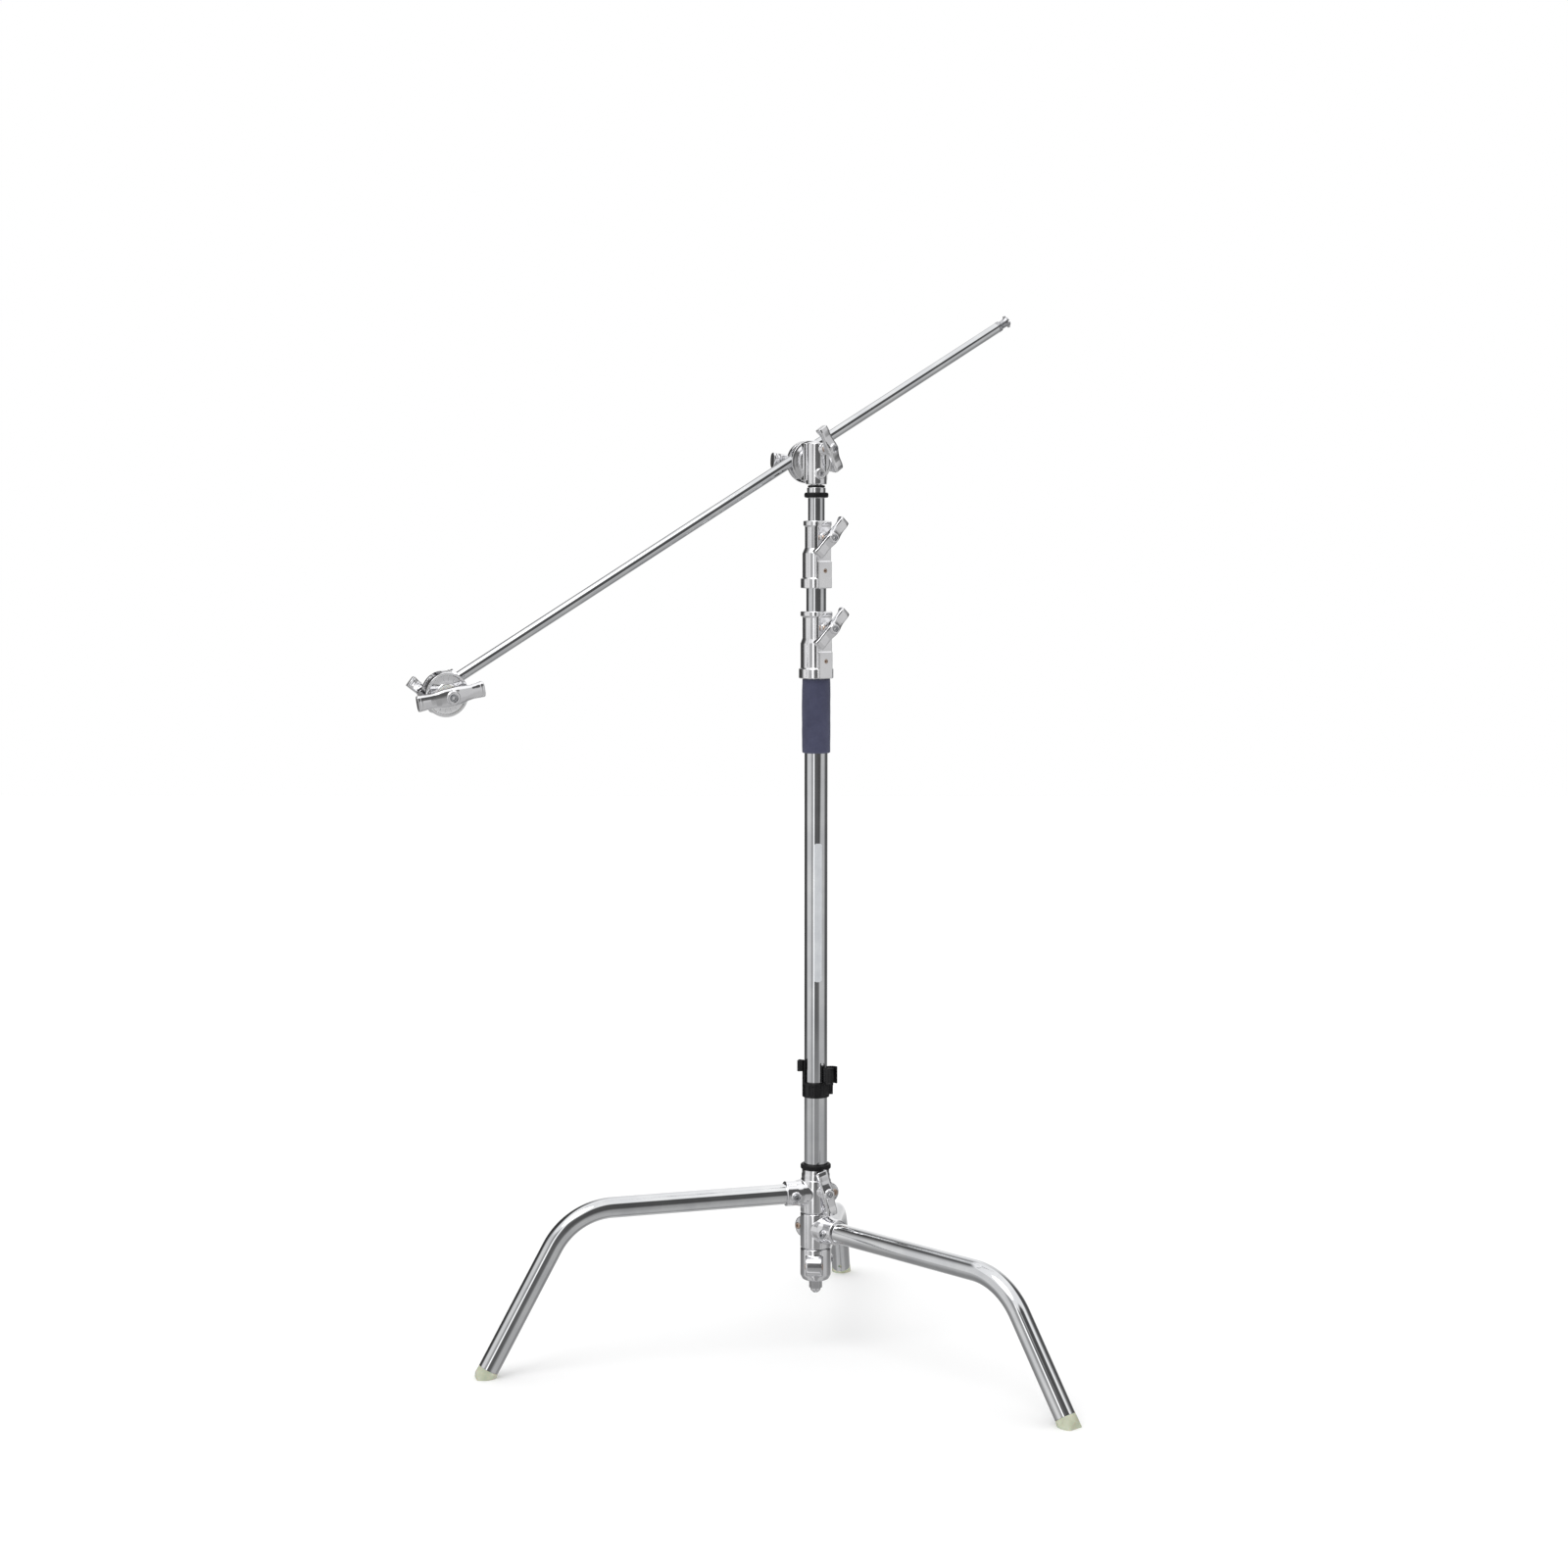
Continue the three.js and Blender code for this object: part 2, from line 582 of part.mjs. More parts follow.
// The three sections, each with the plug or the sliding guide at its lower end.
function addColumn(root) {
  const [first, last] = COLLARS;
  const low = RISER_BOTTOM + PLUG_HEIGHT + GAP;
  const riserBore = RISER_R - TUBE_WALL;
  const secondBore = SECOND_R - TUBE_WALL;
  const riser = pipe(RISER_R, riserBore, RISER_BOTTOM, first.bottom + COLLAR.step);
  const plug = disc(riserBore - PRESS_GAP, RISER_BOTTOM + GAP, RISER_BOTTOM + PLUG_HEIGHT);
  const second = pipe(SECOND_R, secondBore, low, last.bottom + COLLAR.step);
  const third = pipe(THIRD_R, THIRD_R - TUBE_WALL, low + GAP, CAP.bottom - SLIP);
  node(root, "riser_tube", riser, "chrome");
  node(root, "riser_end_plug", plug, "nylon");
  node(root, "second_tube", second, "chrome");
  node(root, "second_guide", guide(riserBore, SECOND_R, low), "nylon");
  node(root, "third_tube", third, "chrome");
  node(root, "third_guide", guide(secondBore, THIRD_R, low + GAP), "nylon");
  node(root, "foam_grip", foamGrip(), "foam");
  node(root, "label_strip", labelStrip(), "label");
}

// A ring fixed on the bottom of one section that slides in the bore of the one outside it.
function guide(bore, tube, from) {
  return pipe(bore - GUIDE_GAP, tube + SLIP, from, from + GUIDE_HEIGHT);
}

function foamGrip() {
  const inner = RISER_R + SLIP;
  const { bottom, top, outer, edge } = FOAM;
  return turned([
    [inner, bottom],
    [outer - edge, bottom],
    [outer, bottom + edge],
    [outer, top - edge],
    [outer - edge, top],
    [inner, top],
    [inner, bottom],
  ]);
}

// A blank adhesive strip curved round the front of the riser.
function labelStrip() {
  const inner = RISER_R + LABEL.lift;
  const shape = new THREE.Shape();
  const from = rad(LABEL.angle - LABEL.half);
  const to = rad(LABEL.angle + LABEL.half);
  shape.absarc(0, 0, inner + LABEL.thick, from, to, false);
  shape.absarc(0, 0, inner, to, from, true);
  return extruded(shape, LABEL.bottom, LABEL.top - LABEL.bottom, LABEL.steps);
}

function extruded(shape, bottom, depth, curveSegments) {
  const geometry = new THREE.ExtrudeGeometry(shape, { depth, bevelEnabled: false, curveSegments });
  geometry.translate(0, 0, bottom);
  return solid(geometry);
}

// The fitting on top of the third section: a plug, a rubber bumper, a seal ring and the stud.
function addCap(root) {
  const plug = THIRD_R - TUBE_WALL - PRESS_GAP;
  const fitting = turned([
    [0, CAP.bottom - CAP.plug],
    [plug, CAP.bottom - CAP.plug],
    [plug, CAP.bottom],
    [CAP.band, CAP.bottom],
    [CAP.band, CAP.bandTop],
    [CAP.neck, CAP.bandTop],
    [CAP.neck, CAP.top],
    [STUD.r, CAP.top],
    [STUD.r, STUD.grooveFrom],
    [STUD.r - STUD.groove, STUD.grooveFrom + STUD.flank],
    [STUD.r - STUD.groove, STUD.grooveTo - STUD.flank],
    [STUD.r, STUD.grooveTo],
    [STUD.r, STUD.top - STUD.edge],
    [STUD.r - STUD.edge, STUD.top],
    [0, STUD.top],
  ]);
  node(root, "top_stud", fitting, "chrome");
  node(root, "bumper_ring", ringOf(BUMPER), "rubber");
  node(root, "seal_ring", ringOf(SEAL), "rubber");
}

// A ring with both outer edges eased.
function ringOf({ bottom, top, inner, outer, soft }) {
  return turned([
    [inner, bottom],
    [outer - soft, bottom],
    [outer, bottom + soft],
    [outer, top - soft],
    [outer - soft, top],
    [inner, top],
    [inner, bottom],
  ]);
}

// ---- Collars ----

function collarBarrel(collar) {
  const { lower, upper, foot, crown } = collar;
  const { height, edge, step, taper } = COLLAR;
  return turned([
    [0, 0],
    [foot - edge, 0],
    [foot, edge],
    [foot, COLLAR.foot - edge],
    [lower, COLLAR.foot],
    [lower, step],
    [upper, step + taper],
    [upper, height - COLLAR.crown],
    [crown, height - COLLAR.crown + edge],
    [crown, height - edge],
    [crown - edge, height],
    [0, height],
  ]);
}

// The flat pad on a collar's front, with a raised plate, a cap and the lock screw's boss.
function collarPad(collar) {
  const { face } = collar;
  const half = PAD.width / 2;
  const top = COLLAR.height - COLLAR.edge;
  const back = box([0, -half, 0], [face - PAD.step, half, top]);
  const plate = box([0, -half, 0], [face, half, PAD.plateTop]);
  const cap = box([0, -half, COLLAR.height - COLLAR.crown], [face - PAD.capStep, half, top]);
  const boss = laid(disc(PAD.boss, 0, face + PAD.bossStep, MEDIUM), [1, 0, 0]);
  const front = back.add(plate).add(cap).add(shifted(boss, 0, 0, COLLAR_LOCK.height));
  return turnedZ(front, PAD.angle);
}

// A cast collar that clamps the lower tube in its foot and guides the upper one.
function collarBody(collar) {
  const { holds, guides } = collar;
  const { height, step } = COLLAR;
  const clampBore = disc(holds + SLIP, -PAST, step + PAST);
  const pocket = disc(guides + LINER.pocket, step, height - LINER.top);
  const way = disc(guides + LINER.way, 0, height + PAST);
  return collarBarrel(collar)
    .add(collarPad(collar))
    .subtract(clampBore)
    .subtract(pocket)
    .subtract(way)
    .subtract(sideHole(SCREW_HOLE_R, PAD.angle, COLLAR_LOCK.height))
    .subtract(sideHole(SET_SCREW.hole, PAD.angle, SET_SCREW.height));
}

function collarLiner({ guides }) {
  const top = COLLAR.height - LINER.top - LINER.way;
  const shoe = pipe(guides + LINER.outer, guides + LINER.inner, COLLAR.step + LINER.from, top);
  return shoe.subtract(sideHole(SCREW_HOLE_R, PAD.angle, COLLAR_LOCK.height));
}

function setScrew({ holds, face }) {
  const top = face - SET_SCREW.sunk;
  const body = disc(SET_SCREW.r, holds + LINER.way, top, COARSE);
  const key = disc(SET_SCREW.key, top - SET_SCREW.keyDepth, top + PAST, HEXAGON);
  const screw = laid(body.subtract(key), [1, 0, 0]);
  return shifted(turnedZ(screw, PAD.angle), 0, 0, SET_SCREW.height);
}

function addCollar(root, collar) {
  const group = new THREE.Group();
  group.position.z = collar.bottom;
  root.add(group);
  node(group, `${collar.name}_body`, collarBody(collar), "cast");
  node(group, `${collar.name}_liner`, collarLiner(collar), "nylon");
  node(group, `${collar.name}_set_screw`, setScrew(collar), "brass");
  const lock = new THREE.Group();
  lock.position.z = COLLAR_LOCK.height;
  lock.rotation.z = rad(PAD.angle - 90);
  group.add(lock);
  const screwTo = collar.guides + COLLAR_LOCK.screwTo;
  const handle = lockHandle(collar.face + COLLAR_LOCK.out, screwTo, COLLAR_LOCK.slant);
  node(lock, `${collar.name}_handle`, handle, "cast");
}

// ---- Clip on the riser ----

function openRing({ inner, outer, height, mouth, facing }) {
  const shape = new THREE.Shape();
  const from = rad(facing + mouth / 2);
  const to = rad(facing - mouth / 2 + 360);
  shape.absarc(0, 0, outer, from, to, false);
  shape.absarc(0, 0, inner, to, from, true);
  return extruded(shape, 0, height, CLIP.steps);
}

function polar(r, degrees, z) {
  return [r * Math.cos(rad(degrees)), r * Math.sin(rad(degrees)), z];
}

// A snap ring on the riser with a wide hook for the stowed arm and a small one for a cable.
function clipShape() {
  const { inner, outer, height } = CLIP;
  const { half, inward, outward, from, to } = HOOK_ROOT;
  const wideAt = polar(outer + WIDE_HOOK_AT.out, WIDE_HOOK_AT.angle, height - WIDE_HOOK_AT.sunk);
  const wide = shifted(openRing(WIDE_HOOK), ...wideAt);
  const root = turnedZ(box([outer - inward, -half, from], [outer + outward, half, to]), WIDE_HOOK_AT.angle);
  const { thick, down, up } = CLIP_TAB;
  const tabBox = box([-CLIP_TAB.half, -thick, -down], [CLIP_TAB.half, thick, up]);
  const tab = shifted(tabBox, ...polar(outer + CLIP_TAB.out, CLIP_TAB.angle, height));
  const strip = CLIP_STRIP;
  const stripBox = box([inner + strip.inset, -strip.half, strip.from], [outer, strip.half, strip.to]);
  const smallAt = polar(outer + SMALL_HOOK_AT.out, SMALL_HOOK_AT.angle, SMALL_HOOK_AT.height);
  const small = shifted(openRing(SMALL_HOOK), ...smallAt);
  return openRing(CLIP).add(root).add(wide).add(tab).add(turnedZ(stripBox, strip.angle)).add(small);
}

function addClip(root) {
  const clip = new THREE.Group();
  clip.position.z = CLIP.bottom;
  root.add(clip);
  node(clip, "arm_clip", clipShape(), "plastic");
}

// ---- Grip heads ----

// Lays a solid made along +Z along the head's bolt.
function onBolt(shape) {
  return laid(shape, [0, 1, 0]);
}

// The outside of the casting that holds the pin: a socket, a flange for the jaws and two bosses.
function headOutside(head) {
  const { r, top, mouth, edge, topEdge } = BODY;
  const { half, from, near, far, rise, back } = FLANGE;
  const core = turned([
    [0, mouth],
    [r - edge, mouth],
    [r, mouth + edge],
    [r, top - topEdge],
    [r - topEdge, top],
    [0, top],
  ]);
  const flange = box([-half, from, mouth + rise], [half, far, top]);
  const round = onBolt(disc(back, near, far));
  const lockBoss = laid(disc(BODY_LOCK.boss, 0, BODY_LOCK.bossTo, MEDIUM), [1, 0, 0]);
  const lockAt = shifted(turnedZ(lockBoss, head.lockAngle), 0, 0, head.lockHeight);
  const lowBoss = laid(disc(LOW_BOSS.r, 0, LOW_BOSS.to, MEDIUM), [0, -1, 0]);
  return core.add(flange).add(round).add(lockAt).add(shifted(lowBoss, 0, 0, LOW_BOSS.z));
}

function headBody(head) {
  const { far, boltDepth } = FLANGE;
  const reach = 2 * DRILL;
  const beyondFace = box([-reach, far, -reach], [reach, reach, reach]);
  const pinBore = disc(PIN_BORE, BODY.mouth - PAST, BODY.top - BODY.roof);
  const boltHole = onBolt(disc(BOLT_R + PRESS_GAP, far - boltDepth, far + PAST, MEDIUM));
  return headOutside(head)
    .subtract(beyondFace)
    .subtract(pinBore)
    .subtract(sideHole(SCREW_HOLE_R, head.lockAngle, head.lockHeight))
    .subtract(sideHole(LOW_BOSS.hole, -90, LOW_BOSS.z))
    .subtract(boltHole);
}

// The pair of rods, wide along X and narrow along Z, that one side of both jaws is notched for.
function notchPair(side) {
  const reach = JAW.r + NOTCH.past;
  const wide = laid(disc(NOTCH.wide, -reach, reach), [1, 0, 0]);
  const narrow = disc(NOTCH.narrow, -reach, reach, COARSE);
  const offset = side * NOTCH.offset;
  return shifted(wide, 0, JAW.centre, offset).add(shifted(narrow, offset, JAW.centre, 0));
}

// Takes the notches and the bolt's way out of a jaw made along +Z.
function jaw(corners) {
  const reach = JAW.centre + JAW.r;
  const way = onBolt(disc(BOLT_R + BOLT_WAY, 0, reach, MEDIUM));
  return onBolt(turned(corners)).subtract(way).subtract(notchPair(-1)).subtract(notchPair(1));
}

function innerJaw() {
  const { r, edge } = JAW;
  const back = JAW_BACK;
  const far = JAW.centre - JAW.gap / 2;
  const near = far - JAW.thick;
  return jaw([
    [0, near],
    [back.r, near],
    [back.edge, near + back.step],
    [r, near + back.rimStep],
    [r, far - edge],
    [r - edge, far],
    [0, far],
  ]);
}

function outerJaw() {
  const { r, edge } = JAW;
  const { outer, inner, depth, flank, rim } = JAW_RECESS;
  const near = JAW.centre + JAW.gap / 2;
  const far = near + JAW.thick;
  return jaw([
    [0, near],
    [r - edge, near],
    [r, near + edge],
    [r, far - rim],
    [r - rim, far],
    [outer + flank, far],
    [outer, far - depth],
    [inner, far - depth],
    [inner - flank, far],
    [0, far],
  ]);
}

function boltWasher({ r, near, far }) {
  return onBolt(pipe(r, BOLT_R + BOLT_WAY, near, far));
}

function mainHandle(head) {
  const wings = shifted(wingHandle(MAIN), 0, MAIN_AT, 0);
  const turn = new THREE.Matrix4().makeRotationY(rad(head.mainSlant));
  const bore = onBolt(disc(BOLT_R + GAP, MAIN_AT - 2 * MAIN.back, MAIN_AT, MEDIUM));
  return placed(wings, turn).subtract(bore);
}

function addHead(group, key) {
  const head = HEADS[key];
  const bolt = onBolt(disc(BOLT_R, FLANGE.far - FLANGE.boltDepth + SLIP, MAIN_AT - PAST, MEDIUM));
  node(group, `${key}_head_body`, headBody(head), "cast");
  node(group, `${key}_head_bolt`, bolt, "steel");
  node(group, `${key}_head_washer`, boltWasher(WASHER), "nylon");
  node(group, `${key}_head_thrust_ring`, boltWasher(THRUST), "steel");
  node(group, `${key}_head_handle`, mainHandle(head), "cast");
  const jaws = new THREE.Group();
  jaws.rotation.y = rad(head.jawTurn);
  group.add(jaws);
  node(jaws, `${key}_head_inner_jaw`, innerJaw(), "cast");
  node(jaws, `${key}_head_outer_jaw`, outerJaw(), "cast");
  const lock = new THREE.Group();
  lock.rotation.z = rad(head.lockAngle - 90);
  lock.position.z = head.lockHeight;
  group.add(lock);
  const screwTo = PIN_BORE + BODY_LOCK.screwGap;
  node(lock, `${key}_head_lock`, lockHandle(BODY_LOCK.out, screwTo, head.lockSlant), "cast");
}

function addStandHead(root) {
  const head = new THREE.Group();
  head.rotation.z = rad(BOLT_ANGLE - 90);
  head.position.z = HEAD_HEIGHT;
  root.add(head);
  addHead(head, "stand");
}

// ---- Grip arm ----

function armTip() {
  const { neck, neckFrom, band, length, flare, flareFrom, flareTo } = TIP;
  const { half, thick, from, to, slot, slotFrom } = TIP_EARS;
  const body = turned(
    [
      [0, 0],
      [ROD_R, 0],
      [ROD_R, band],
      [neck, neckFrom],
      [neck, flareFrom],
      [flare, flareTo],
      [flare, length],
      [0, length],
    ],
    MEDIUM,
  );
  const ears = box([-half, -thick, from], [half, thick, to]);
  const groove = box([-slot, -DRILL, slotFrom], [slot, DRILL, length + PAST]);
  return laid(body.add(ears).subtract(groove), [1, 0, 0]);
}

// A frame on the arm's centreline where it crosses the column, with X along the arm.
function armGroup(root) {
  const arm = new THREE.Group();
  arm.rotation.order = "ZYX";
  arm.rotation.set(0, rad(-ARM_ELEVATION), rad(BOLT_ANGLE - 90));
  const offset = new THREE.Vector3(0, JAW.centre, NOTCH.offset).applyEuler(arm.rotation);
  arm.position.set(offset.x, offset.y, HEAD_HEIGHT + offset.z);
  root.add(arm);
  return arm;
}

function addArm(root) {
  const arm = armGroup(root);
  const rod = pipe(ROD_R, ROD_R - ROD_WALL, END_HEAD_AT - ARM_END_IN_SOCKET, ARM_TIP_AT - SLIP);
  node(arm, "arm_rod", laid(rod, [1, 0, 0]), "chrome");
  node(arm, "arm_tip", shifted(armTip(), ARM_TIP_AT, 0, 0), "steel");
  const end = new THREE.Group();
  const x = new THREE.Vector3(0, 0, -1);
  const y = new THREE.Vector3(0, -1, 0);
  const z = new THREE.Vector3(-1, 0, 0);
  const roll = new THREE.Matrix4().makeRotationZ(rad(END_HEAD_ROLL));
  end.setRotationFromMatrix(new THREE.Matrix4().makeBasis(x, y, z).multiply(roll));
  end.position.x = END_HEAD_AT;
  arm.add(end);
  addHead(end, "end");
}

function buildStand() {
  const root = new THREE.Group();
  addBase(root);
  addColumn(root);
  addCap(root);
  COLLARS.forEach((collar) => addCollar(root, collar));
  addClip(root);
  addStandHead(root);
  addArm(root);
  return root;
}

export default buildStand();
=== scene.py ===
import math

import bmesh
import bpy
import numpy as np
from mathutils import Matrix, Vector


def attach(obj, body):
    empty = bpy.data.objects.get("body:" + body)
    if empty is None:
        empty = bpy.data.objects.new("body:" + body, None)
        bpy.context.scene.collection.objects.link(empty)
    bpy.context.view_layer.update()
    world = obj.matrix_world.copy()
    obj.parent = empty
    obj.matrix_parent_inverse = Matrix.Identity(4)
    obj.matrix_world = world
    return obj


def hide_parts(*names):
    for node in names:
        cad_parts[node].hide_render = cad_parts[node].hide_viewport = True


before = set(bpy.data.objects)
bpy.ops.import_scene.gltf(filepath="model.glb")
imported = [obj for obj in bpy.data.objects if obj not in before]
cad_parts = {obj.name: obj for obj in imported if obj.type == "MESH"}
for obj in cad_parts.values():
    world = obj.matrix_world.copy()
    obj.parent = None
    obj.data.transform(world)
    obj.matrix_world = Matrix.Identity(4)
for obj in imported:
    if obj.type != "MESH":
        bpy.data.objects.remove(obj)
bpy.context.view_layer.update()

MM = 0.001
ROUND, SMALL = 72, 40  # sides of large and small turned forms

# Dimensions shared with the CAD model, in millimetres and degrees.
LEG_R, LEG_SLOPE, LEG_BEND_R, FOOT_CUT = 15.5, 0.65, 105.0, 12.5
LEG_WALL, FOOT_R = 1.6, 15.8
LEGS = {
    "leg_1": dict(angle=196.3, height=247.0, corner=376.5, bend=60.6, body="base"),
    "leg_2": dict(angle=314.4, height=192.0, corner=382.5, bend=55.8, body="leg_2"),
    "leg_3": dict(angle=84.7, height=137.5, corner=384.0, bend=56.5, body="leg_3"),
}
HUB_R, HUB_BORE = 23.4, 20.3
LEG_BOLT_AT, LUG_PIN_AT = (36, 0, -2), (-26.2, 0, 0)
BASE_LOCK_Z, BASE_LOCK_ANGLE = 252.0, -62.0
COLLARS = {
    "collar_1": dict(bottom=1026.6, lower=23.6, upper=20.7, foot=26.1, crown=23.6,
                     holds=17.5, guides=15.0, face=26.4, body="riser"),
    "collar_2": dict(bottom=1160.6, lower=20.8, upper=17.2, foot=23.4, crown=19.4,
                     holds=15.0, guides=12.5, face=24.0, body="second"),
}
PAD_ANGLE = -56.0
BOLT_HEIGHT, SET_HEIGHT, COLLAR_HEIGHT = 75.0, 26.0, 100.0
LABEL_ANGLE = -80.0
HEAD_Z = 1348.0
ARM_RISE, BOLT_ANGLE = 31.1, 113.55
JAW_CENTRE, LOW_BOSS_Z, MAIN_AT = 26.2, -18, 56.0
ROD_R, ROD_OFFSET = 7.95, 15.6
END_AT, END_ROLL, TIP_AT = -662.0, -8.0, 374.0
SCREW_HOLE = 4.6

X, Y, Z = Vector((1, 0, 0)), Vector((0, 1, 0)), Vector((0, 0, 1))


# ---- Mesh building ----

def rot(axis, degrees):
    return Matrix.Rotation(math.radians(degrees), 4, axis)


def move(x, y, z):
    return Matrix.Translation((x, y, z))


def lay(axis):
    """The turn that lays something made along +Z down along axis."""
    return Z.rotation_difference(Vector(axis)).to_matrix().to_4x4()


def fillet(corners, n=4):
    """Rounds the corners of a polyline: each corner is (r, z) or (r, z, fillet radius)."""
    out = []
    pts = [np.array(c[:2], float) for c in corners]
    for i, c in enumerate(corners):
        radius = c[2] if len(c) > 2 else 0.0
        if radius <= 0 or i in (0, len(corners) - 1):
            out.append(pts[i])
            continue
        a, b = pts[i - 1] - pts[i], pts[i + 1] - pts[i]
        la, lb = np.linalg.norm(a), np.linalg.norm(b)
        a, b = a / la, b / lb
        half = math.acos(max(-1, min(1, float(a @ b)))) / 2
        if half > 1.5:
            out.append(pts[i])
            continue
        reach = min(radius / math.tan(half), 0.49 * la, 0.49 * lb)
        r = reach * math.tan(half)
        middle = pts[i] + (a + b) / np.linalg.norm(a + b) * (r / math.sin(half))
        u, v = pts[i] + a * reach - middle, pts[i] + b * reach - middle
        size = max(1e-9, np.linalg.norm(u) * np.linalg.norm(v))
        turn = math.acos(max(-1, min(1, float(u @ v) / size)))
        for k in range(n + 1):
            t = k / n
            w = (math.sin((1 - t) * turn) * u + math.sin(t * turn) * v) / max(1e-9, math.sin(turn))
            out.append(middle + w)
    return out


def mesh_from(verts, faces):
    mesh = bpy.data.meshes.new("made")
    mesh.from_pydata([tuple(v) for v in verts], [], faces)
    bm = bmesh.new()
    bm.from_mesh(mesh)
    bmesh.ops.remove_doubles(bm, verts=bm.verts, dist=1e-5)
    bmesh.ops.dissolve_degenerate(bm, edges=bm.edges, dist=1e-6)
    bmesh.ops.recalc_face_normals(bm, faces=bm.faces)
    bm.to_mesh(mesh)
    bm.free()
    return mesh


def lathe(corners, sides=ROUND):
    """A turned solid about Z. The profile starts and ends on the axis, or closes on itself."""
    path = fillet(corners)
    closed = np.linalg.norm(path[0] - path[-1]) < 1e-6
    if closed:
        path = path[:-1]
    verts, faces = [], []
    for r, z in path:
        for k in range(sides):
            a = 2 * math.pi * k / sides
            verts.append((r * math.cos(a), r * math.sin(a), z))
    rows = len(path)
    for i in range(rows if closed else rows - 1):
        j = (i + 1) % rows
        for k in range(sides):
            m = (k + 1) % sides
            faces.append((i * sides + k, i * sides + m, j * sides + m, j * sides + k))
    return mesh_from(verts, faces)


def rod(r, low, high, soft=0.0, sides=ROUND):
    return lathe([(0, low), (r, low, soft), (r, high, soft), (0, high)], sides)


def pin(r, low, high, soft=0):
    """A small rod."""
    return rod(r, low, high, soft, SMALL)


def hexagon(r, low, high):
    return rod(r, low, high, 0, 6)


def pipe(outer, inner, low, high, soft=0.3):
    middle = (inner, (low + high) / 2)
    return lathe([middle, (inner, low, soft), (outer, low, soft), (outer, high, soft),
                  (inner, high, soft), middle])


def slab(low, high, soft=0.0):
    """A box with softened edges."""
    bm = bmesh.new()
    bmesh.ops.create_cube(bm, size=1.0)
    for v in bm.verts:
        v.co = Vector([low[i] + (v.co[i] + 0.5) * (high[i] - low[i]) for i in range(3)])
    if soft:
        bmesh.ops.bevel(bm, geom=bm.edges[:], offset=soft, segments=3, profile=0.5, affect="EDGES")
    mesh = bpy.data.meshes.new("slab")
    bm.to_mesh(mesh)
    bm.free()
    return mesh


def loft(sections, sides, power):
    """A closed form along X through sections of (x, half height, half thickness, y offset)."""
    verts, faces = [], []
    for x, h, t, y in sections:
        for k in range(sides):
            a = 2 * math.pi * k / sides
            c, s = math.cos(a), math.sin(a)
            verts.append((x, y + t * math.copysign(abs(c) ** (2 / power), c),
                          h * math.copysign(abs(s) ** (2 / power), s)))
    for i in range(len(sections) - 1):
        for k in range(sides):
            m = (k + 1) % sides
            faces.append((i * sides + k, i * sides + m,
                          (i + 1) * sides + m, (i + 1) * sides + k))
    faces.append(tuple(range(sides)))
    faces.append(tuple((len(sections) - 1) * sides + k for k in range(sides)))
    return mesh_from(verts, faces)


def sweep(points, radii):
    """A tube along points in the XZ plane; radii is (outer, inner)."""
    sides = ROUND
    pts = [Vector(p) for p in points]
    verts, faces, rings = [], [], []
    for i, p in enumerate(pts):
        along = (pts[min(i + 1, len(pts) - 1)] - pts[max(i - 1, 0)]).normalized()
        rings.append((p, along.cross(Y).normalized()))
    for r in radii:
        for p, up in rings:
            for k in range(sides):
                a = 2 * math.pi * k / sides
                verts.append(p + Y * (r * math.cos(a)) + up * (r * math.sin(a)))
    n = len(pts)
    for shell in range(len(radii)):
        for i in range(n - 1):
            for k in range(sides):
                m = (k + 1) % sides
                base = (shell * n + i) * sides
                faces.append((base + k, base + m, base + sides + m, base + sides + k))
    for i in (0, n - 1):
        for k in range(sides):
            m = (k + 1) % sides
            faces.append((i * sides + k, i * sides + m,
                          (n + i) * sides + m, (n + i) * sides + k))
    return mesh_from(verts, faces)


def put(mesh, *matrices):
    """The mesh, moved by the product of the matrices: the last one acts first."""
    total = Matrix.Identity(4)
    for m in matrices:
        total = total @ m
    mesh.transform(total)
    if total.determinant() < 0:
        mesh.flip_normals()
    return mesh


def joined(meshes):
    bm = bmesh.new()
    for mesh in meshes:
        bm.from_mesh(mesh)
    out = bpy.data.meshes.new("joined")
    bm.to_mesh(out)
    bm.free()
    return out


def scratch(mesh):
    obj = bpy.data.objects.new("scratch", mesh)
    bpy.context.scene.collection.objects.link(obj)
    return obj


def baked(obj):
    """The object's mesh with its modifiers applied; the scratch object goes."""
    graph = bpy.context.evaluated_depsgraph_get()
    mesh = bpy.data.meshes.new_from_object(obj.evaluated_get(graph))
    bpy.data.objects.remove(obj)
    return mesh


def carve(mesh, cuts):
    """The mesh less each cutter."""
    obj = scratch(mesh)
    tools = [scratch(c) for c in cuts]
    for tool in tools:
        mod = obj.modifiers.new("cut", "BOOLEAN")
        mod.operation, mod.solver, mod.object = "DIFFERENCE", "MANIFOLD", tool
    out = baked(obj)
    for tool in tools:
        bpy.data.objects.remove(tool)
    return out


def cast(adds, cuts, voxel, smooth, keep):
    """A casting: forms melted into one with soft fillets, then machined.

    voxel is the melt's grain, smooth how often it is softened, and keep the share of faces left.
    """
    obj = scratch(joined(adds))
    mod = obj.modifiers.new("melt", "REMESH")
    mod.mode, mod.voxel_size, mod.use_smooth_shade = "VOXEL", voxel, True
    mod = obj.modifiers.new("soften", "SMOOTH")
    mod.factor, mod.iterations = 0.5, smooth
    mod = obj.modifiers.new("thin", "DECIMATE")
    mod.ratio = keep
    return carve(baked(obj), cuts)


# ---- Materials ----

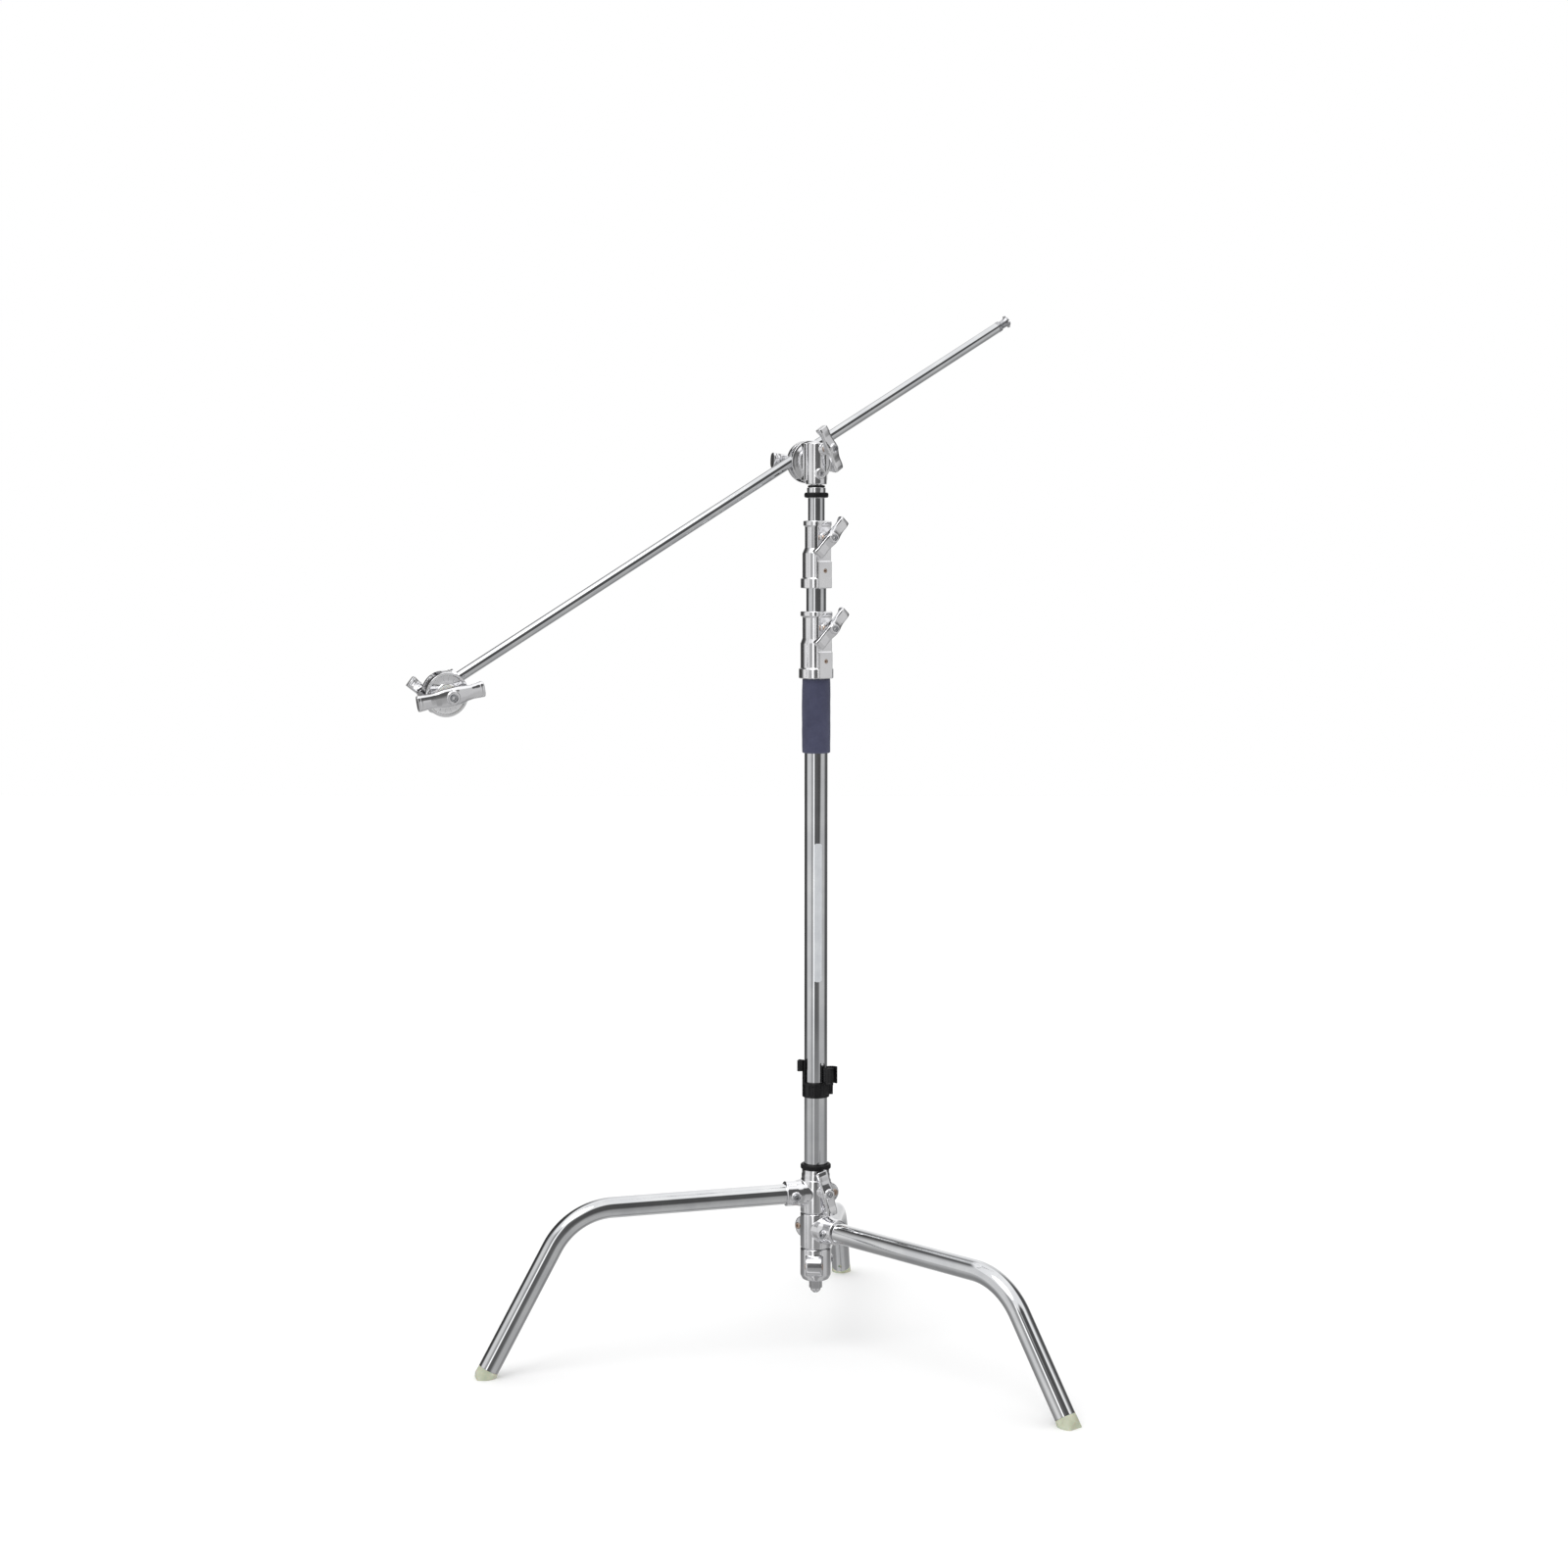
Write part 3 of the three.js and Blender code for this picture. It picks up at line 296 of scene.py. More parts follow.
class Nodes:
    """A helper for building a material's node tree in object space."""

    def __init__(self, name):
        self.mat = bpy.data.materials.new(name)
        self.mat.use_nodes = True
        self.tree = self.mat.node_tree
        self.shader = self.tree.nodes["Principled BSDF"]
        self.place = self.add("ShaderNodeTexCoord").outputs["Object"]
        self.bumps = None

    def add(self, kind, **values):
        node = self.tree.nodes.new(kind)
        for key, value in values.items():
            if hasattr(node, key):
                setattr(node, key, value)
            else:
                node.inputs[key.replace("_", " ")].default_value = value
        return node

    def join(self, out, socket):
        self.tree.links.new(out, socket)

    def coords(self, scale=(1, 1, 1)):
        node = self.add("ShaderNodeMapping")
        node.inputs["Scale"].default_value = scale
        self.join(self.place, node.inputs["Vector"])
        return node.outputs["Vector"]

    def noise(self, scale, detail=4.0, stretch=(1, 1, 1), rough=0.55):
        node = self.add("ShaderNodeTexNoise", Scale=scale, Detail=detail, Roughness=rough)
        self.join(self.coords(stretch), node.inputs["Vector"])
        return node.outputs["Fac"]

    def cells(self, scale, feature="F1", stretch=(1, 1, 1)):
        node = self.add("ShaderNodeTexVoronoi", feature=feature, Scale=scale)
        self.join(self.coords(stretch), node.inputs["Vector"])
        return node.outputs["Distance"]

    def span(self, value, low, high, to_low=0.0, to_high=1.0):
        node = self.add("ShaderNodeMapRange")
        node.interpolation_type = "SMOOTHSTEP"
        limits = {"From Min": low, "From Max": high, "To Min": to_low, "To Max": to_high}
        for key, number in limits.items():
            node.inputs[key].default_value = number
        self.join(value, node.inputs["Value"])
        return node.outputs["Result"]

    def maths(self, operation, a, b):
        node = self.add("ShaderNodeMath", operation=operation)
        for socket, value in zip(node.inputs, (a, b)):
            if isinstance(value, (int, float)):
                socket.default_value = value
            else:
                self.join(value, socket)
        return node.outputs[0]

    def mix(self, factor, a, b):
        node = self.add("ShaderNodeMix", data_type="RGBA")
        for socket, value in ((node.inputs[0], factor), (node.inputs[6], a), (node.inputs[7], b)):
            if isinstance(value, (tuple, list)):
                socket.default_value = (*value, 1.0)
            elif isinstance(value, (int, float)):
                socket.default_value = value
            else:
                self.join(value, socket)
        return node.outputs[2]

    def bump(self, height, strength, distance):
        node = self.add("ShaderNodeBump", Strength=strength, Distance=distance)
        self.join(height, node.inputs["Height"])
        if self.bumps:
            self.join(self.bumps, node.inputs["Normal"])
        self.bumps = node.outputs["Normal"]

    def edges(self, low=0.53, high=0.62):
        return self.span(self.add("ShaderNodeNewGeometry").outputs["Pointiness"], low, high)

    def done(self, colour, rough, **sockets):
        self.join(colour, self.shader.inputs["Base Color"])
        self.join(rough, self.shader.inputs["Roughness"])
        if self.bumps:
            self.join(self.bumps, self.shader.inputs["Normal"])
        for key, value in sockets.items():
            self.shader.inputs[key.replace("_", " ")].default_value = value
        return self.mat


def metal(name, tones, rough, grain, stretch=(1, 1, 1), depth=0.1, ripple=0.0):
    """Plated or bare metal: cloudy tone, rub marks, fine grain, brighter worn edges."""
    dark, light, worn = tones
    n = Nodes(name)
    clouds = n.span(n.noise(22, 5), 0.35, 0.68)
    rub = n.span(n.noise(140, 6, stretch, 0.7), 0.52, 0.78)
    tone = n.mix(clouds, dark, light)
    tone = n.mix(n.maths("MULTIPLY", rub, 0.15), tone, tuple(0.8 * v for v in dark))
    tone = n.mix(n.maths("MULTIPLY", n.edges(), 0.4), tone, worn)
    gloss = n.span(clouds, 0, 1, rough[0], rough[1])
    gloss = n.maths("ADD", gloss, n.maths("MULTIPLY", rub, 0.5 * (rough[1] - rough[0])))
    n.bump(n.noise(grain, 3, stretch), depth, 0.00002)
    if ripple:
        n.bump(n.noise(70, 2), ripple, 0.0004)
    return n.done(tone, gloss, Metallic=1.0)


def soft_plastic(name, tones, rough, grain, depth, **sockets):
    """Rubber, nylon or moulded plastic: mottled tone, fine grain, scuffed edges."""
    base, second, worn = tones
    n = Nodes(name)
    mottle = n.span(n.noise(60, 5), 0.35, 0.7)
    scuff = n.span(n.noise(420, 6, (1, 1, 0.25), 0.7), 0.56, 0.72)
    tone = n.mix(mottle, base, second)
    tone = n.mix(n.maths("MULTIPLY", scuff, 0.35), tone, worn)
    tone = n.mix(n.maths("MULTIPLY", n.edges(), 0.6), tone, worn)
    gloss = n.span(mottle, 0, 1, rough[0], rough[1])
    gloss = n.maths("ADD", gloss, n.maths("MULTIPLY", scuff, 0.12))
    n.bump(n.noise(grain, 4), depth, 0.00012)
    return n.done(tone, gloss, **sockets)


def foam_look():
    """Closed-cell foam: a skin of fine cells, soft tonal drift and a few larger pores, their pits
    darkened with painted shade.
    """
    n = Nodes("foam_skin")
    cells = n.cells(1500)
    pores = n.span(n.cells(420), 0.0, 0.16)
    drift = n.span(n.noise(26, 4), 0.3, 0.72)
    tone = n.mix(drift, (0.05, 0.053, 0.095), (0.074, 0.078, 0.134))
    tone = n.mix(n.span(cells, 0.1, 0.75, 0.0, 0.4), tone, (0.032, 0.034, 0.062))
    # Painted shade: the pores' pits are darkened in colour, as if shade fell into them.
    tone = n.mix(n.span(pores, 0, 1, 0.55, 0.0), tone, (0.022, 0.023, 0.038))
    tone = n.mix(n.maths("MULTIPLY", n.edges(0.51, 0.58), 0.35), tone, (0.15, 0.16, 0.21))
    gloss = n.span(n.noise(300, 4), 0.3, 0.7, 0.78, 0.95)
    n.bump(cells, 0.55, 0.0003)
    n.bump(pores, 0.45, 0.0004)
    n.bump(n.noise(70, 4), 0.3, 0.0008)
    return n.done(tone, gloss, Sheen_Weight=0.06, Sheen_Roughness=0.5, Specular_IOR_Level=0.3)


def label_look():
    """A blank adhesive strip: satin film with faint fibre, tonal drift and lighter cut edges."""
    n = Nodes("label_film")
    fibre = n.noise(900, 5, (1, 1, 0.08))
    drift = n.span(n.noise(30, 4), 0.3, 0.7)
    tone = n.mix(drift, (0.56, 0.58, 0.61), (0.66, 0.68, 0.7))
    tone = n.mix(n.span(fibre, 0.5, 0.8, 0.0, 0.3), tone, (0.4, 0.42, 0.45))
    tone = n.mix(n.maths("MULTIPLY", n.edges(0.51, 0.6), 0.4), tone, (0.78, 0.79, 0.8))
    gloss = n.span(fibre, 0.3, 0.7, 0.28, 0.48)
    n.bump(fibre, 0.2, 0.00008)
    return n.done(tone, gloss, Metallic=0.2)


def foot_look():
    """Clear vinyl gone milky: pale green-grey, slightly see-through, scuffed at the sole."""
    n = Nodes("foot_vinyl")
    clouds = n.span(n.noise(45, 5), 0.3, 0.72)
    dirt = n.span(n.noise(160, 6, (1, 1, 0.4), 0.7), 0.55, 0.75)
    tone = n.mix(clouds, (0.42, 0.45, 0.33), (0.55, 0.57, 0.44))
    tone = n.mix(n.maths("MULTIPLY", dirt, 0.4), tone, (0.27, 0.27, 0.2))
    tone = n.mix(n.maths("MULTIPLY", n.edges(0.52, 0.6), 0.4), tone, (0.7, 0.72, 0.6))
    gloss = n.span(clouds, 0, 1, 0.28, 0.5)
    n.bump(n.noise(600, 4), 0.25, 0.0001)
    return n.done(tone, gloss, Subsurface_Weight=0.25, Subsurface_Scale=0.004, Coat_Weight=0.2)


CHROME = (0.7, 0.71, 0.73), (0.8, 0.81, 0.82), (0.95, 0.95, 0.95)
CASTING = (0.82, 0.82, 0.84), (0.93, 0.93, 0.95), (0.98, 0.98, 0.98)
BRIGHT = (0.88, 0.88, 0.9), (0.97, 0.97, 0.98), (0.99, 0.99, 0.99)
STEEL = (0.4, 0.41, 0.43), (0.58, 0.58, 0.6), (0.85, 0.85, 0.86)
COPPER = (0.52, 0.4, 0.32), (0.72, 0.57, 0.47), (0.88, 0.76, 0.68)
RUBBER = (0.004, 0.004, 0.005), (0.009, 0.009, 0.01), (0.03, 0.03, 0.033)
PLASTIC = (0.004, 0.004, 0.005), (0.009, 0.009, 0.01), (0.04, 0.04, 0.043)
NYLON = (0.6, 0.6, 0.56), (0.7, 0.7, 0.66), (0.82, 0.82, 0.8)

LOOKS = {
    "tube": metal("chrome_tube", CHROME, (0.04, 0.08), 1800, (1, 1, 0.03), 0.05),
    "rod": metal("chrome_rod", CHROME, (0.045, 0.09), 1800, (0.03, 1, 1), 0.05),
    "leg": metal("chrome_leg", CHROME, (0.04, 0.08), 1500, depth=0.04),
    "cast": metal("cast_chrome", CASTING, (0.05, 0.1), 1100, depth=0.06, ripple=0.07),
    "satin": metal("satin_casting", BRIGHT, (0.1, 0.17), 1300, (0.15, 0.15, 1), 0.1, 0.05),
    "polish": metal("handle_chrome", BRIGHT, (0.08, 0.12), 1300, depth=0.05, ripple=0.06),
    "turned": metal("machined_face", BRIGHT, (0.09, 0.14), 1200, depth=0.05, ripple=0.04),
    "steel": metal("bare_steel", STEEL, (0.2, 0.34), 1500, depth=0.2, ripple=0.05),
    "brass": metal("copper_brass", COPPER, (0.22, 0.36), 1500, depth=0.2),
    "rubber": soft_plastic("black_rubber", RUBBER, (0.45, 0.6), 1400, 0.3,
                           Specular_IOR_Level=0.3),
    "plastic": soft_plastic("black_plastic", PLASTIC, (0.25, 0.4), 1100, 0.25,
                            Specular_IOR_Level=0.35),
    "nylon": soft_plastic("white_nylon", NYLON, (0.38, 0.55), 900, 0.25,
                          Subsurface_Weight=0.1, Subsurface_Scale=0.002),
    "foam": foam_look(),
    "label": label_look(),
    "foot": foot_look(),
}


# ---- Placing pieces ----

ROOT = Matrix.Identity(4)


def in_metres(matrix):
    out = matrix.copy()
    out.translation = out.translation * MM
    return out


def piece(name, mesh, where, body, look, stands_for=(), sharp=32, bevel=0.0):
    """Adds a finished piece: mesh in millimetres in the frame given by where.

    sharp is the angle in degrees above which an edge stays crisp; bevel its rounding in mm.
    """
    mesh.transform(Matrix.Scale(MM, 4))
    mesh.shade_smooth()
    mesh.set_sharp_from_angle(angle=math.radians(sharp))
    mesh.materials.clear()
    mesh.materials.append(LOOKS[look])
    obj = bpy.data.objects.new(name, mesh)
    bpy.context.scene.collection.objects.link(obj)
    obj.matrix_world = in_metres(where)
    if bevel:
        mod = obj.modifiers.new("soft_edges", "BEVEL")
        mod.width, mod.segments, mod.limit_method = bevel * MM, 2, "ANGLE"
        mod.angle_limit, mod.harden_normals = math.radians(35), True
    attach(obj, body)
    if stands_for:
        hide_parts(*stands_for)
    return obj


# ---- Handles ----

# rows: share of the wing's length, half width, depth behind and depth in front.
LOCK = dict(half=35.5, boss=7.6, back=7.6, reach=8.4, square=5.0, hollow=4.3, rows=(
    (0.0, 9.4, 7.4, 7.0), (0.14, 9.3, 7.0, 6.6), (0.3, 8.6, 4.8, 5.4), (0.44, 8.2, 2.8, 4.8),
    (0.58, 8.2, 2.0, 4.8), (0.72, 8.3, 2.2, 5.6), (0.82, 8.5, 4.2, 6.0), (0.9, 8.6, 5.8, 5.6),
    (0.985, 8.6, 5.9, 5.0), (1.0, 8.0, 5.3, 4.2)))
MAIN = dict(half=50.0, boss=9.6, back=9.2, reach=10.2, square=2.7, hollow=0.0, rows=(
    (0.0, 13.4, 8.0, 8.0), (0.2, 13.3, 7.9, 7.9), (0.34, 12.2, 7.1, 7.4), (0.48, 10.8, 5.8, 6.4),
    (0.62, 10.2, 5.4, 6.0), (0.76, 10.6, 5.8, 6.2), (0.86, 11.2, 6.5, 6.6), (0.905, 11.0, 6.3, 6.4),
    (0.92, 11.5, 6.9, 6.9), (0.985, 11.5, 6.9, 6.9), (1.0, 10.8, 6.2, 6.2)))
WING_SWEEP = 6.0


def wing(s):
    """One wing along +X."""
    rows = [(s["half"] * share, width, (back + front) / 2, (front - back) / 2)
            for share, width, back, front in s["rows"]]
    return loft(rows, 56, s["square"])


def wing_grip(s, bore=0.0):
    """A two-winged casting: wings along X, boss towards +Y with a well for the screw's end."""
    sides = [rot(Z, -WING_SWEEP), rot(Z, WING_SWEEP) @ Matrix.Diagonal((-1, 1, 1, 1))]
    parts = [put(wing(s), side) for side in sides]
    reach, boss, scoop = s["reach"], s["boss"], s["hollow"]
    hub = lathe([(0, -s["back"]), (boss, -s["back"], 1), (boss, reach - 0.3, 1.4),
                 (0, reach - 0.3)], SMALL)
    parts.append(put(hub, lay(Y)))
    cuts = [put(pin(boss * 0.66, reach - 2.4, reach + 3), lay(Y))]
    for side in sides if scoop else ():
        tool = slab((s["half"] * 0.84, -20, -scoop), (s["half"] - 2, -2.4, scoop), 0.4)
        cuts.append(put(tool, side))
    if bore:
        cuts.append(put(pin(bore, -40, reach - 5), lay(Y)))
    return cast(parts, cuts, 0.5, 4, 0.5)


def screw_end(s, low):
    """The socketed end of a handle's screw, sunk in its boss."""
    r, reach = s["boss"] * 0.56, s["reach"]
    body = put(pin(r, low, reach - 1.1, 0.6), lay(Y))
    return carve(body, [put(hexagon(r * 0.5, reach - 3.6, reach + 1), lay(Y))])


def threaded(r, low, high, pitch=1.25):
    """A screw shank with turned thread grooves."""
    row = [(0, low), (r - 0.5, low)]
    z = low + 0.5
    while z < high - pitch - 0.4:
        row += [(r - 0.35, z), (r, z + pitch * 0.45), (r - 0.35, z + pitch * 0.9)]
        z += pitch
    row += [(r, high - 0.4), (r, high), (0, high)]
    return lathe(row, SMALL)


GRIPS = {"lock": wing_grip(LOCK), "main": wing_grip(MAIN, 6.3)}
LOCK_SHANK_R = 3.9


def lock_set(name, where, out, screw_to, slant, body, node):
    """A lock handle with its screw, pushed out along +Y of where and turned by slant."""
    at = where @ rot(Y, slant) @ move(0, out, 0)
    piece(name, GRIPS["lock"].copy(), at, body, "polish", (node,))
    shank = put(threaded(LOCK_SHANK_R, screw_to - out, -6), lay(Y))
    piece(name + "_screw", shank, at, body, "brass")
    piece(name + "_screw_end", screw_end(LOCK, 2), at, body, "steel", sharp=30, bevel=0.15)


# ---- Base ----

def leg_frame(leg):
    return move(0, 0, leg["height"]) @ rot(Z, leg["angle"])


def leg_line(leg, steps=30):
    """A leg's centreline in its own plane, its last stretch's fall in radians and direction."""
    slope = math.radians(LEG_SLOPE)
    fall = math.radians(LEG_SLOPE + leg["bend"])
    tangent = LEG_BEND_R * math.tan((fall - slope) / 2)
    cx = leg["corner"] - tangent * math.cos(slope) - LEG_BEND_R * math.sin(slope)
    cz = (-leg["corner"] * math.tan(slope) + tangent * math.sin(slope)
          - LEG_BEND_R * math.cos(slope))
    points = [Vector((27, 0, -27 * math.tan(slope)))]
    for i in range(steps + 1):
        a = math.pi / 2 - slope - (fall - slope) * i / steps
        points.append(Vector((cx + LEG_BEND_R * math.cos(a), 0,
                              cz + LEG_BEND_R * math.sin(a))))
    along = Vector((math.cos(fall), 0, -math.sin(fall)))
    run = (points[-1].z + leg["height"] - FOOT_CUT) / math.sin(fall)
    points.append(points[-1] + along * run)
    return points, fall, along


def bolt_side(name):
    """Which side of a leg its socket bolt is on."""
    return Y if name == "leg_1" else -Y


def hub_forms(name):
    """The leg socket, its bolt boss and the lug opposite."""
    socket = lathe([(0, 0), (20.6, 0), (20.6, 24, 3), (19, 32, 3), (19, 49, 1.4), (0, 49)])
    boss = put(pin(6.8, 0, 21.5, 0.6), move(*LEG_BOLT_AT), lay(bolt_side(name)))
    lug = put(rod(16, -12.5, 12.5, 1.0), move(-17, 0, 0), lay(Y))
    return [put(socket, lay(X)), boss, lug]


def hub_cuts(name):
    bore = put(rod(LEG_R + 0.15, 26, 70), rot(Y, LEG_SLOPE), lay(X))
    hole = put(pin(SCREW_HOLE, 10, 30), move(*LEG_BOLT_AT), lay(bolt_side(name)))
    pivot = put(pin(5.2, -20, 20), move(*LUG_PIN_AT), lay(Y))
    return [bore, hole, pivot]


# The leg each hub carries, the heights it is trimmed to, and its profile.
HUBS = {
    "hub_top": ("leg_1", 216.55, None, [
        (0, 216.55), (HUB_R, 216.55, 1.5), (HUB_R, 266, 1.6), (21.7, 269, 1.6),
        (21.7, 275.6, 1), (20.9, 276.4, 1), (20.9, 283, 0.6), (0, 283)]),
    "hub_middle": ("leg_2", 162.35, 216.25, [
        (0, 162.35), (HUB_R, 162.35, 1.5), (HUB_R, 216.25, 1.5), (0, 216.25)]),
    "hub_bottom": ("leg_3", None, 162.05, [
        (0, 111), (HUB_R - 9, 111, 1), (HUB_R - 3.1, 113.7, 3), (HUB_R, 120, 3),
        (HUB_R, 162.05, 1.5), (0, 162.05)]),
}


def add_hubs():
    for node, (name, low, high, profile) in HUBS.items():
        leg = LEGS[name]
        where = leg_frame(leg)
        adds = [lathe(profile)] + [put(m, where) for m in hub_forms(name)]
        cuts = [put(m, where) for m in hub_cuts(name)]
        cuts.append(rod(HUB_BORE, 115, 288))
        if node == "hub_top":
            lock = move(0, 0, BASE_LOCK_Z) @ rot(Z, BASE_LOCK_ANGLE)
            adds.append(put(pin(8.5, 15, 28, 0.8), lock, lay(X)))
            cuts.append(put(pin(SCREW_HOLE, 0, 40), lock, lay(X)))
        if node == "hub_bottom":
            cuts.append(pin(5.3, 110, 116))
        if low:
            cuts.append(slab((-90, -90, low - 30), (90, 90, low)))
        if high:
            cuts.append(slab((-90, -90, high), (90, 90, high + 30)))
        piece(node + "_casting", cast(adds, cuts, 0.8, 5, 0.4), ROOT, leg["body"], "cast",
              (node,))


def add_legs():
    for name, leg in LEGS.items():
        where, body = leg_frame(leg), leg["body"]
        points, fall, along = leg_line(leg)
        end = points[-1]
        tube = sweep(points, (LEG_R, LEG_R - LEG_WALL))
        tilt = Vector((math.sin(fall), 0, math.cos(fall)))
        hole = put(pin(3, -30, 0), move(*(end - along * 12)), lay(tilt))
        piece(name + "_chrome", carve(tube, [hole]), where, body, "leg", (name + "_tube",))
        foot = lathe([(0, -18), (12.7, -18, 0.8), (13.7, -16, 0.8), (13.7, 0.2),
                      (15.4, 0.2, 0.5), (FOOT_R, 5, 2), (FOOT_R, 40), (0, 40)], SMALL)
        foot = put(foot, move(*end), rot(Y, 90 + math.degrees(fall)))
        floor = -leg["height"]
        toe = end.x + FOOT_R / math.sin(fall) + 1.1
        below = slab((0, -60, floor - 80), (700, 60, floor))
        beyond = slab((toe, -60, floor - 10), (toe + 60, 60, floor + 60))
        piece(name + "_foot_plug", carve(foot, [below, beyond]), where, body, "foot",
              (name + "_foot",), bevel=0.7)
        add_leg_screws(name, where, body)


def add_leg_screws(name, where, body):
    head = lathe([(0, 16.4), (4, 16.4), (4, 21.9), (5.4, 21.9, 0.2), (5.4, 23, 0.6),
                  (4.5, 23.8, 0.6), (0, 23.8)], SMALL)
    head = put(carve(head, [hexagon(2.6, 21, 25)]), move(*LEG_BOLT_AT), lay(bolt_side(name)))
    piece(name + "_socket_bolt", head, where, body, "steel", (name + "_bolt",), bevel=0.15)
    shaft = lathe([(0, -13.6), (4.2, -13.6, 0.3), (5, -12.9, 0.3), (5, 12.9, 0.3),
                   (4.2, 13.6, 0.3), (0, 13.6)], SMALL)
    shaft = carve(shaft, [hexagon(2.4, -20, -12.2), hexagon(2.4, 12.2, 20)])
    piece(name + "_pivot_pin", put(shaft, move(*LUG_PIN_AT), lay(Y)), where, body, "brass",
          (name + "_lug_pin",), bevel=0.12)


def add_base_trim():
    sleeve = lathe([(0, 116.8), (19.7, 116.8, 0.5), (19.7, 282.5, 0.5), (17.8, 282.5, 0.3),
                    (17.8, 120.8), (0, 120.8)])
    hole = put(pin(SCREW_HOLE, 0, 40), move(0, 0, BASE_LOCK_Z), rot(Z, BASE_LOCK_ANGLE), lay(X))
    piece("base_inner_sleeve", carve(sleeve, [hole]), ROOT, "base", "steel", ("base_sleeve",))
    chamfer = lathe([(9.2, 98), (14, 98), (14, 101.4), (9.2, 98)], SMALL)
    dome = lathe([(0, 91), (4, 91.8, 2), (7.6, 95.5, 3), (8.5, 99.4), (0, 99.4)], SMALL)
    nut = joined([carve(hexagon(10, 99, 110.7), [chamfer]), dome])
    piece("base_acorn_nut", nut, ROOT, "base", "cast", ("base_cap_nut",), sharp=25, bevel=0.2)
    piece("base_stud_thread", threaded(4.9, 96.5, 117), ROOT, "base", "steel")
    ring = lathe([(17.75, 287), (17.75, 283.4, 0.3), (21.4, 283.4, 1), (23, 284.6, 1.2),
                  (23, 289.6, 1.2), (21.4, 291, 1), (17.75, 291, 0.5), (17.75, 287)])
    piece("base_rubber_ring", ring, ROOT, "base", "rubber", ("base_ring",))
    at = move(0, 0, BASE_LOCK_Z) @ rot(Z, BASE_LOCK_ANGLE - 90)
    lock_set("base_wing", at, 38, 18.4, -75, "base_lock", "base_handle")


# ---- Column ----

def add_column():
    for name, outer, low, high in (("riser", 17.5, 128, 1078.6), ("second", 15, 138.3, 1212.6),
                                   ("third", 12.5, 138.6, 1293.9)):
        tube = pipe(outer, outer - 1.5, low, high, 0.4)
        piece(name + "_chrome", tube, ROOT, name, "tube", (name + "_tube",))
    stud = lathe([(0, 1264), (10.8, 1264, 0.5), (10.8, 1294), (14, 1294, 0.5), (14, 1309.5, 0.8),
                  (10.4, 1309.5), (10.4, 1313.4, 0.5), (7.95, 1313.4), (7.95, 1346, 0.4),
                  (6.35, 1347.5, 0.8), (6.35, 1353.5, 0.8), (7.95, 1355, 0.4),
                  (7.95, 1366, 1.2), (0, 1366)])
    piece("top_stud_turned", stud, ROOT, "third", "turned", ("top_stud",))
    bumper = lathe([(14.1, 1298), (14.1, 1294.6, 0.3), (16.6, 1294.6, 1), (18, 1296.4, 1.6),
                    (18, 1300.4, 1.6), (16.6, 1302.2, 1), (14.1, 1302.2, 0.5), (14.1, 1298)])
    piece("bumper_rubber", bumper, ROOT, "third", "rubber", ("bumper_ring",))
    seal = lathe([(10.5, 1311), (10.5, 1309.8, 0.2), (12.2, 1309.8, 0.8), (13, 1311.2, 0.8),
                  (12.2, 1312.9, 0.8), (10.5, 1312.9, 0.3), (10.5, 1311)])
    piece("seal_rubber", seal, ROOT, "third", "rubber", ("seal_ring",))
    add_foam()
    add_label()


def add_foam():
    """The foam sleeve: a soft, slightly uneven tube with rounded mouths."""
    rows, steps = [], 90
    for i in range(steps + 1):
        t = i / steps
        z = 916.2 + t * 108.6
        swell = 0.28 * math.sin(t * 9.0 + 0.6) + 0.16 * math.sin(t * 23 + 1.1)
        rows.append((20.85 + 0.55 * math.sin(math.pi * t) + 0.35 * swell, z))
    profile = [(17.7, 970), (17.7, 916), (18.2, 915.15), (19.2, 915.0), (20.2, 915.3)] + rows
    profile += [(20.2, 1025.7), (19.2, 1026.0), (18.2, 1025.85), (17.7, 1025), (17.7, 970)]
    mesh = lathe(profile, 128)
    for v in mesh.vertices:
        r = math.hypot(v.co.x, v.co.y)
        if r < 18.0:
            continue
        a = math.atan2(v.co.y, v.co.x)
        dent = 0.10 * math.sin(3 * a + v.co.z * 0.05) + 0.07 * math.sin(7 * a - v.co.z * 0.11)
        dent += 0.05 * math.sin(13 * a + v.co.z * 0.31)
        scale = (r + dent * min(1.0, (r - 18) / 2)) / r
        v.co.x, v.co.y = v.co.x * scale, v.co.y * scale
    foam = piece("foam_sleeve", mesh, ROOT, "riser", "foam", ("foam_grip",), sharp=60)


def add_label():
    """A thin strip with rounded corners, curved on to the riser."""
    inner, outer = 17.6, 18.05
    half_width, low, high, corner = math.radians(19), 571.0, 780.0, 3.5
    columns, rows = 24, 60
    zs = [low + (high - low) * i / rows for i in range(rows + 1)]
    zs += [low + corner * k / 6 for k in range(1, 6)]
    zs += [high - corner * k / 6 for k in range(1, 6)]
    zs = sorted(set(zs))
    verts, faces = [], []
    for r in (inner, outer):
        for z in zs:
            edge = min(z - low, high - z)
            drop = max(0, corner - edge)
            inset = corner - math.sqrt(max(0, corner ** 2 - drop ** 2))
            reach = half_width - inset / inner
            for k in range(columns + 1):
                a = math.radians(LABEL_ANGLE) + reach * (2 * k / columns - 1)
                verts.append((r * math.cos(a), r * math.sin(a), z))
    width, n = columns + 1, len(zs) * (columns + 1)
    for i in range(len(zs) - 1):
        for k in range(columns):
            a = i * width + k
            faces.append((a, a + width, a + width + 1, a + 1))
            faces.append((n + a, n + a + 1, n + a + width + 1, n + a + width))
        for k in (0, columns):
            a = i * width + k
            faces.append((a, n + a, n + a + width, a + width))
    for i in (0, len(zs) - 1):
        for k in range(columns):
            a = i * width + k
            faces.append((a, a + 1, n + a + 1, n + a))
    piece("label_film_strip", mesh_from(verts, faces), ROOT, "riser", "label", ("label_strip",))


# ---- Collars ----

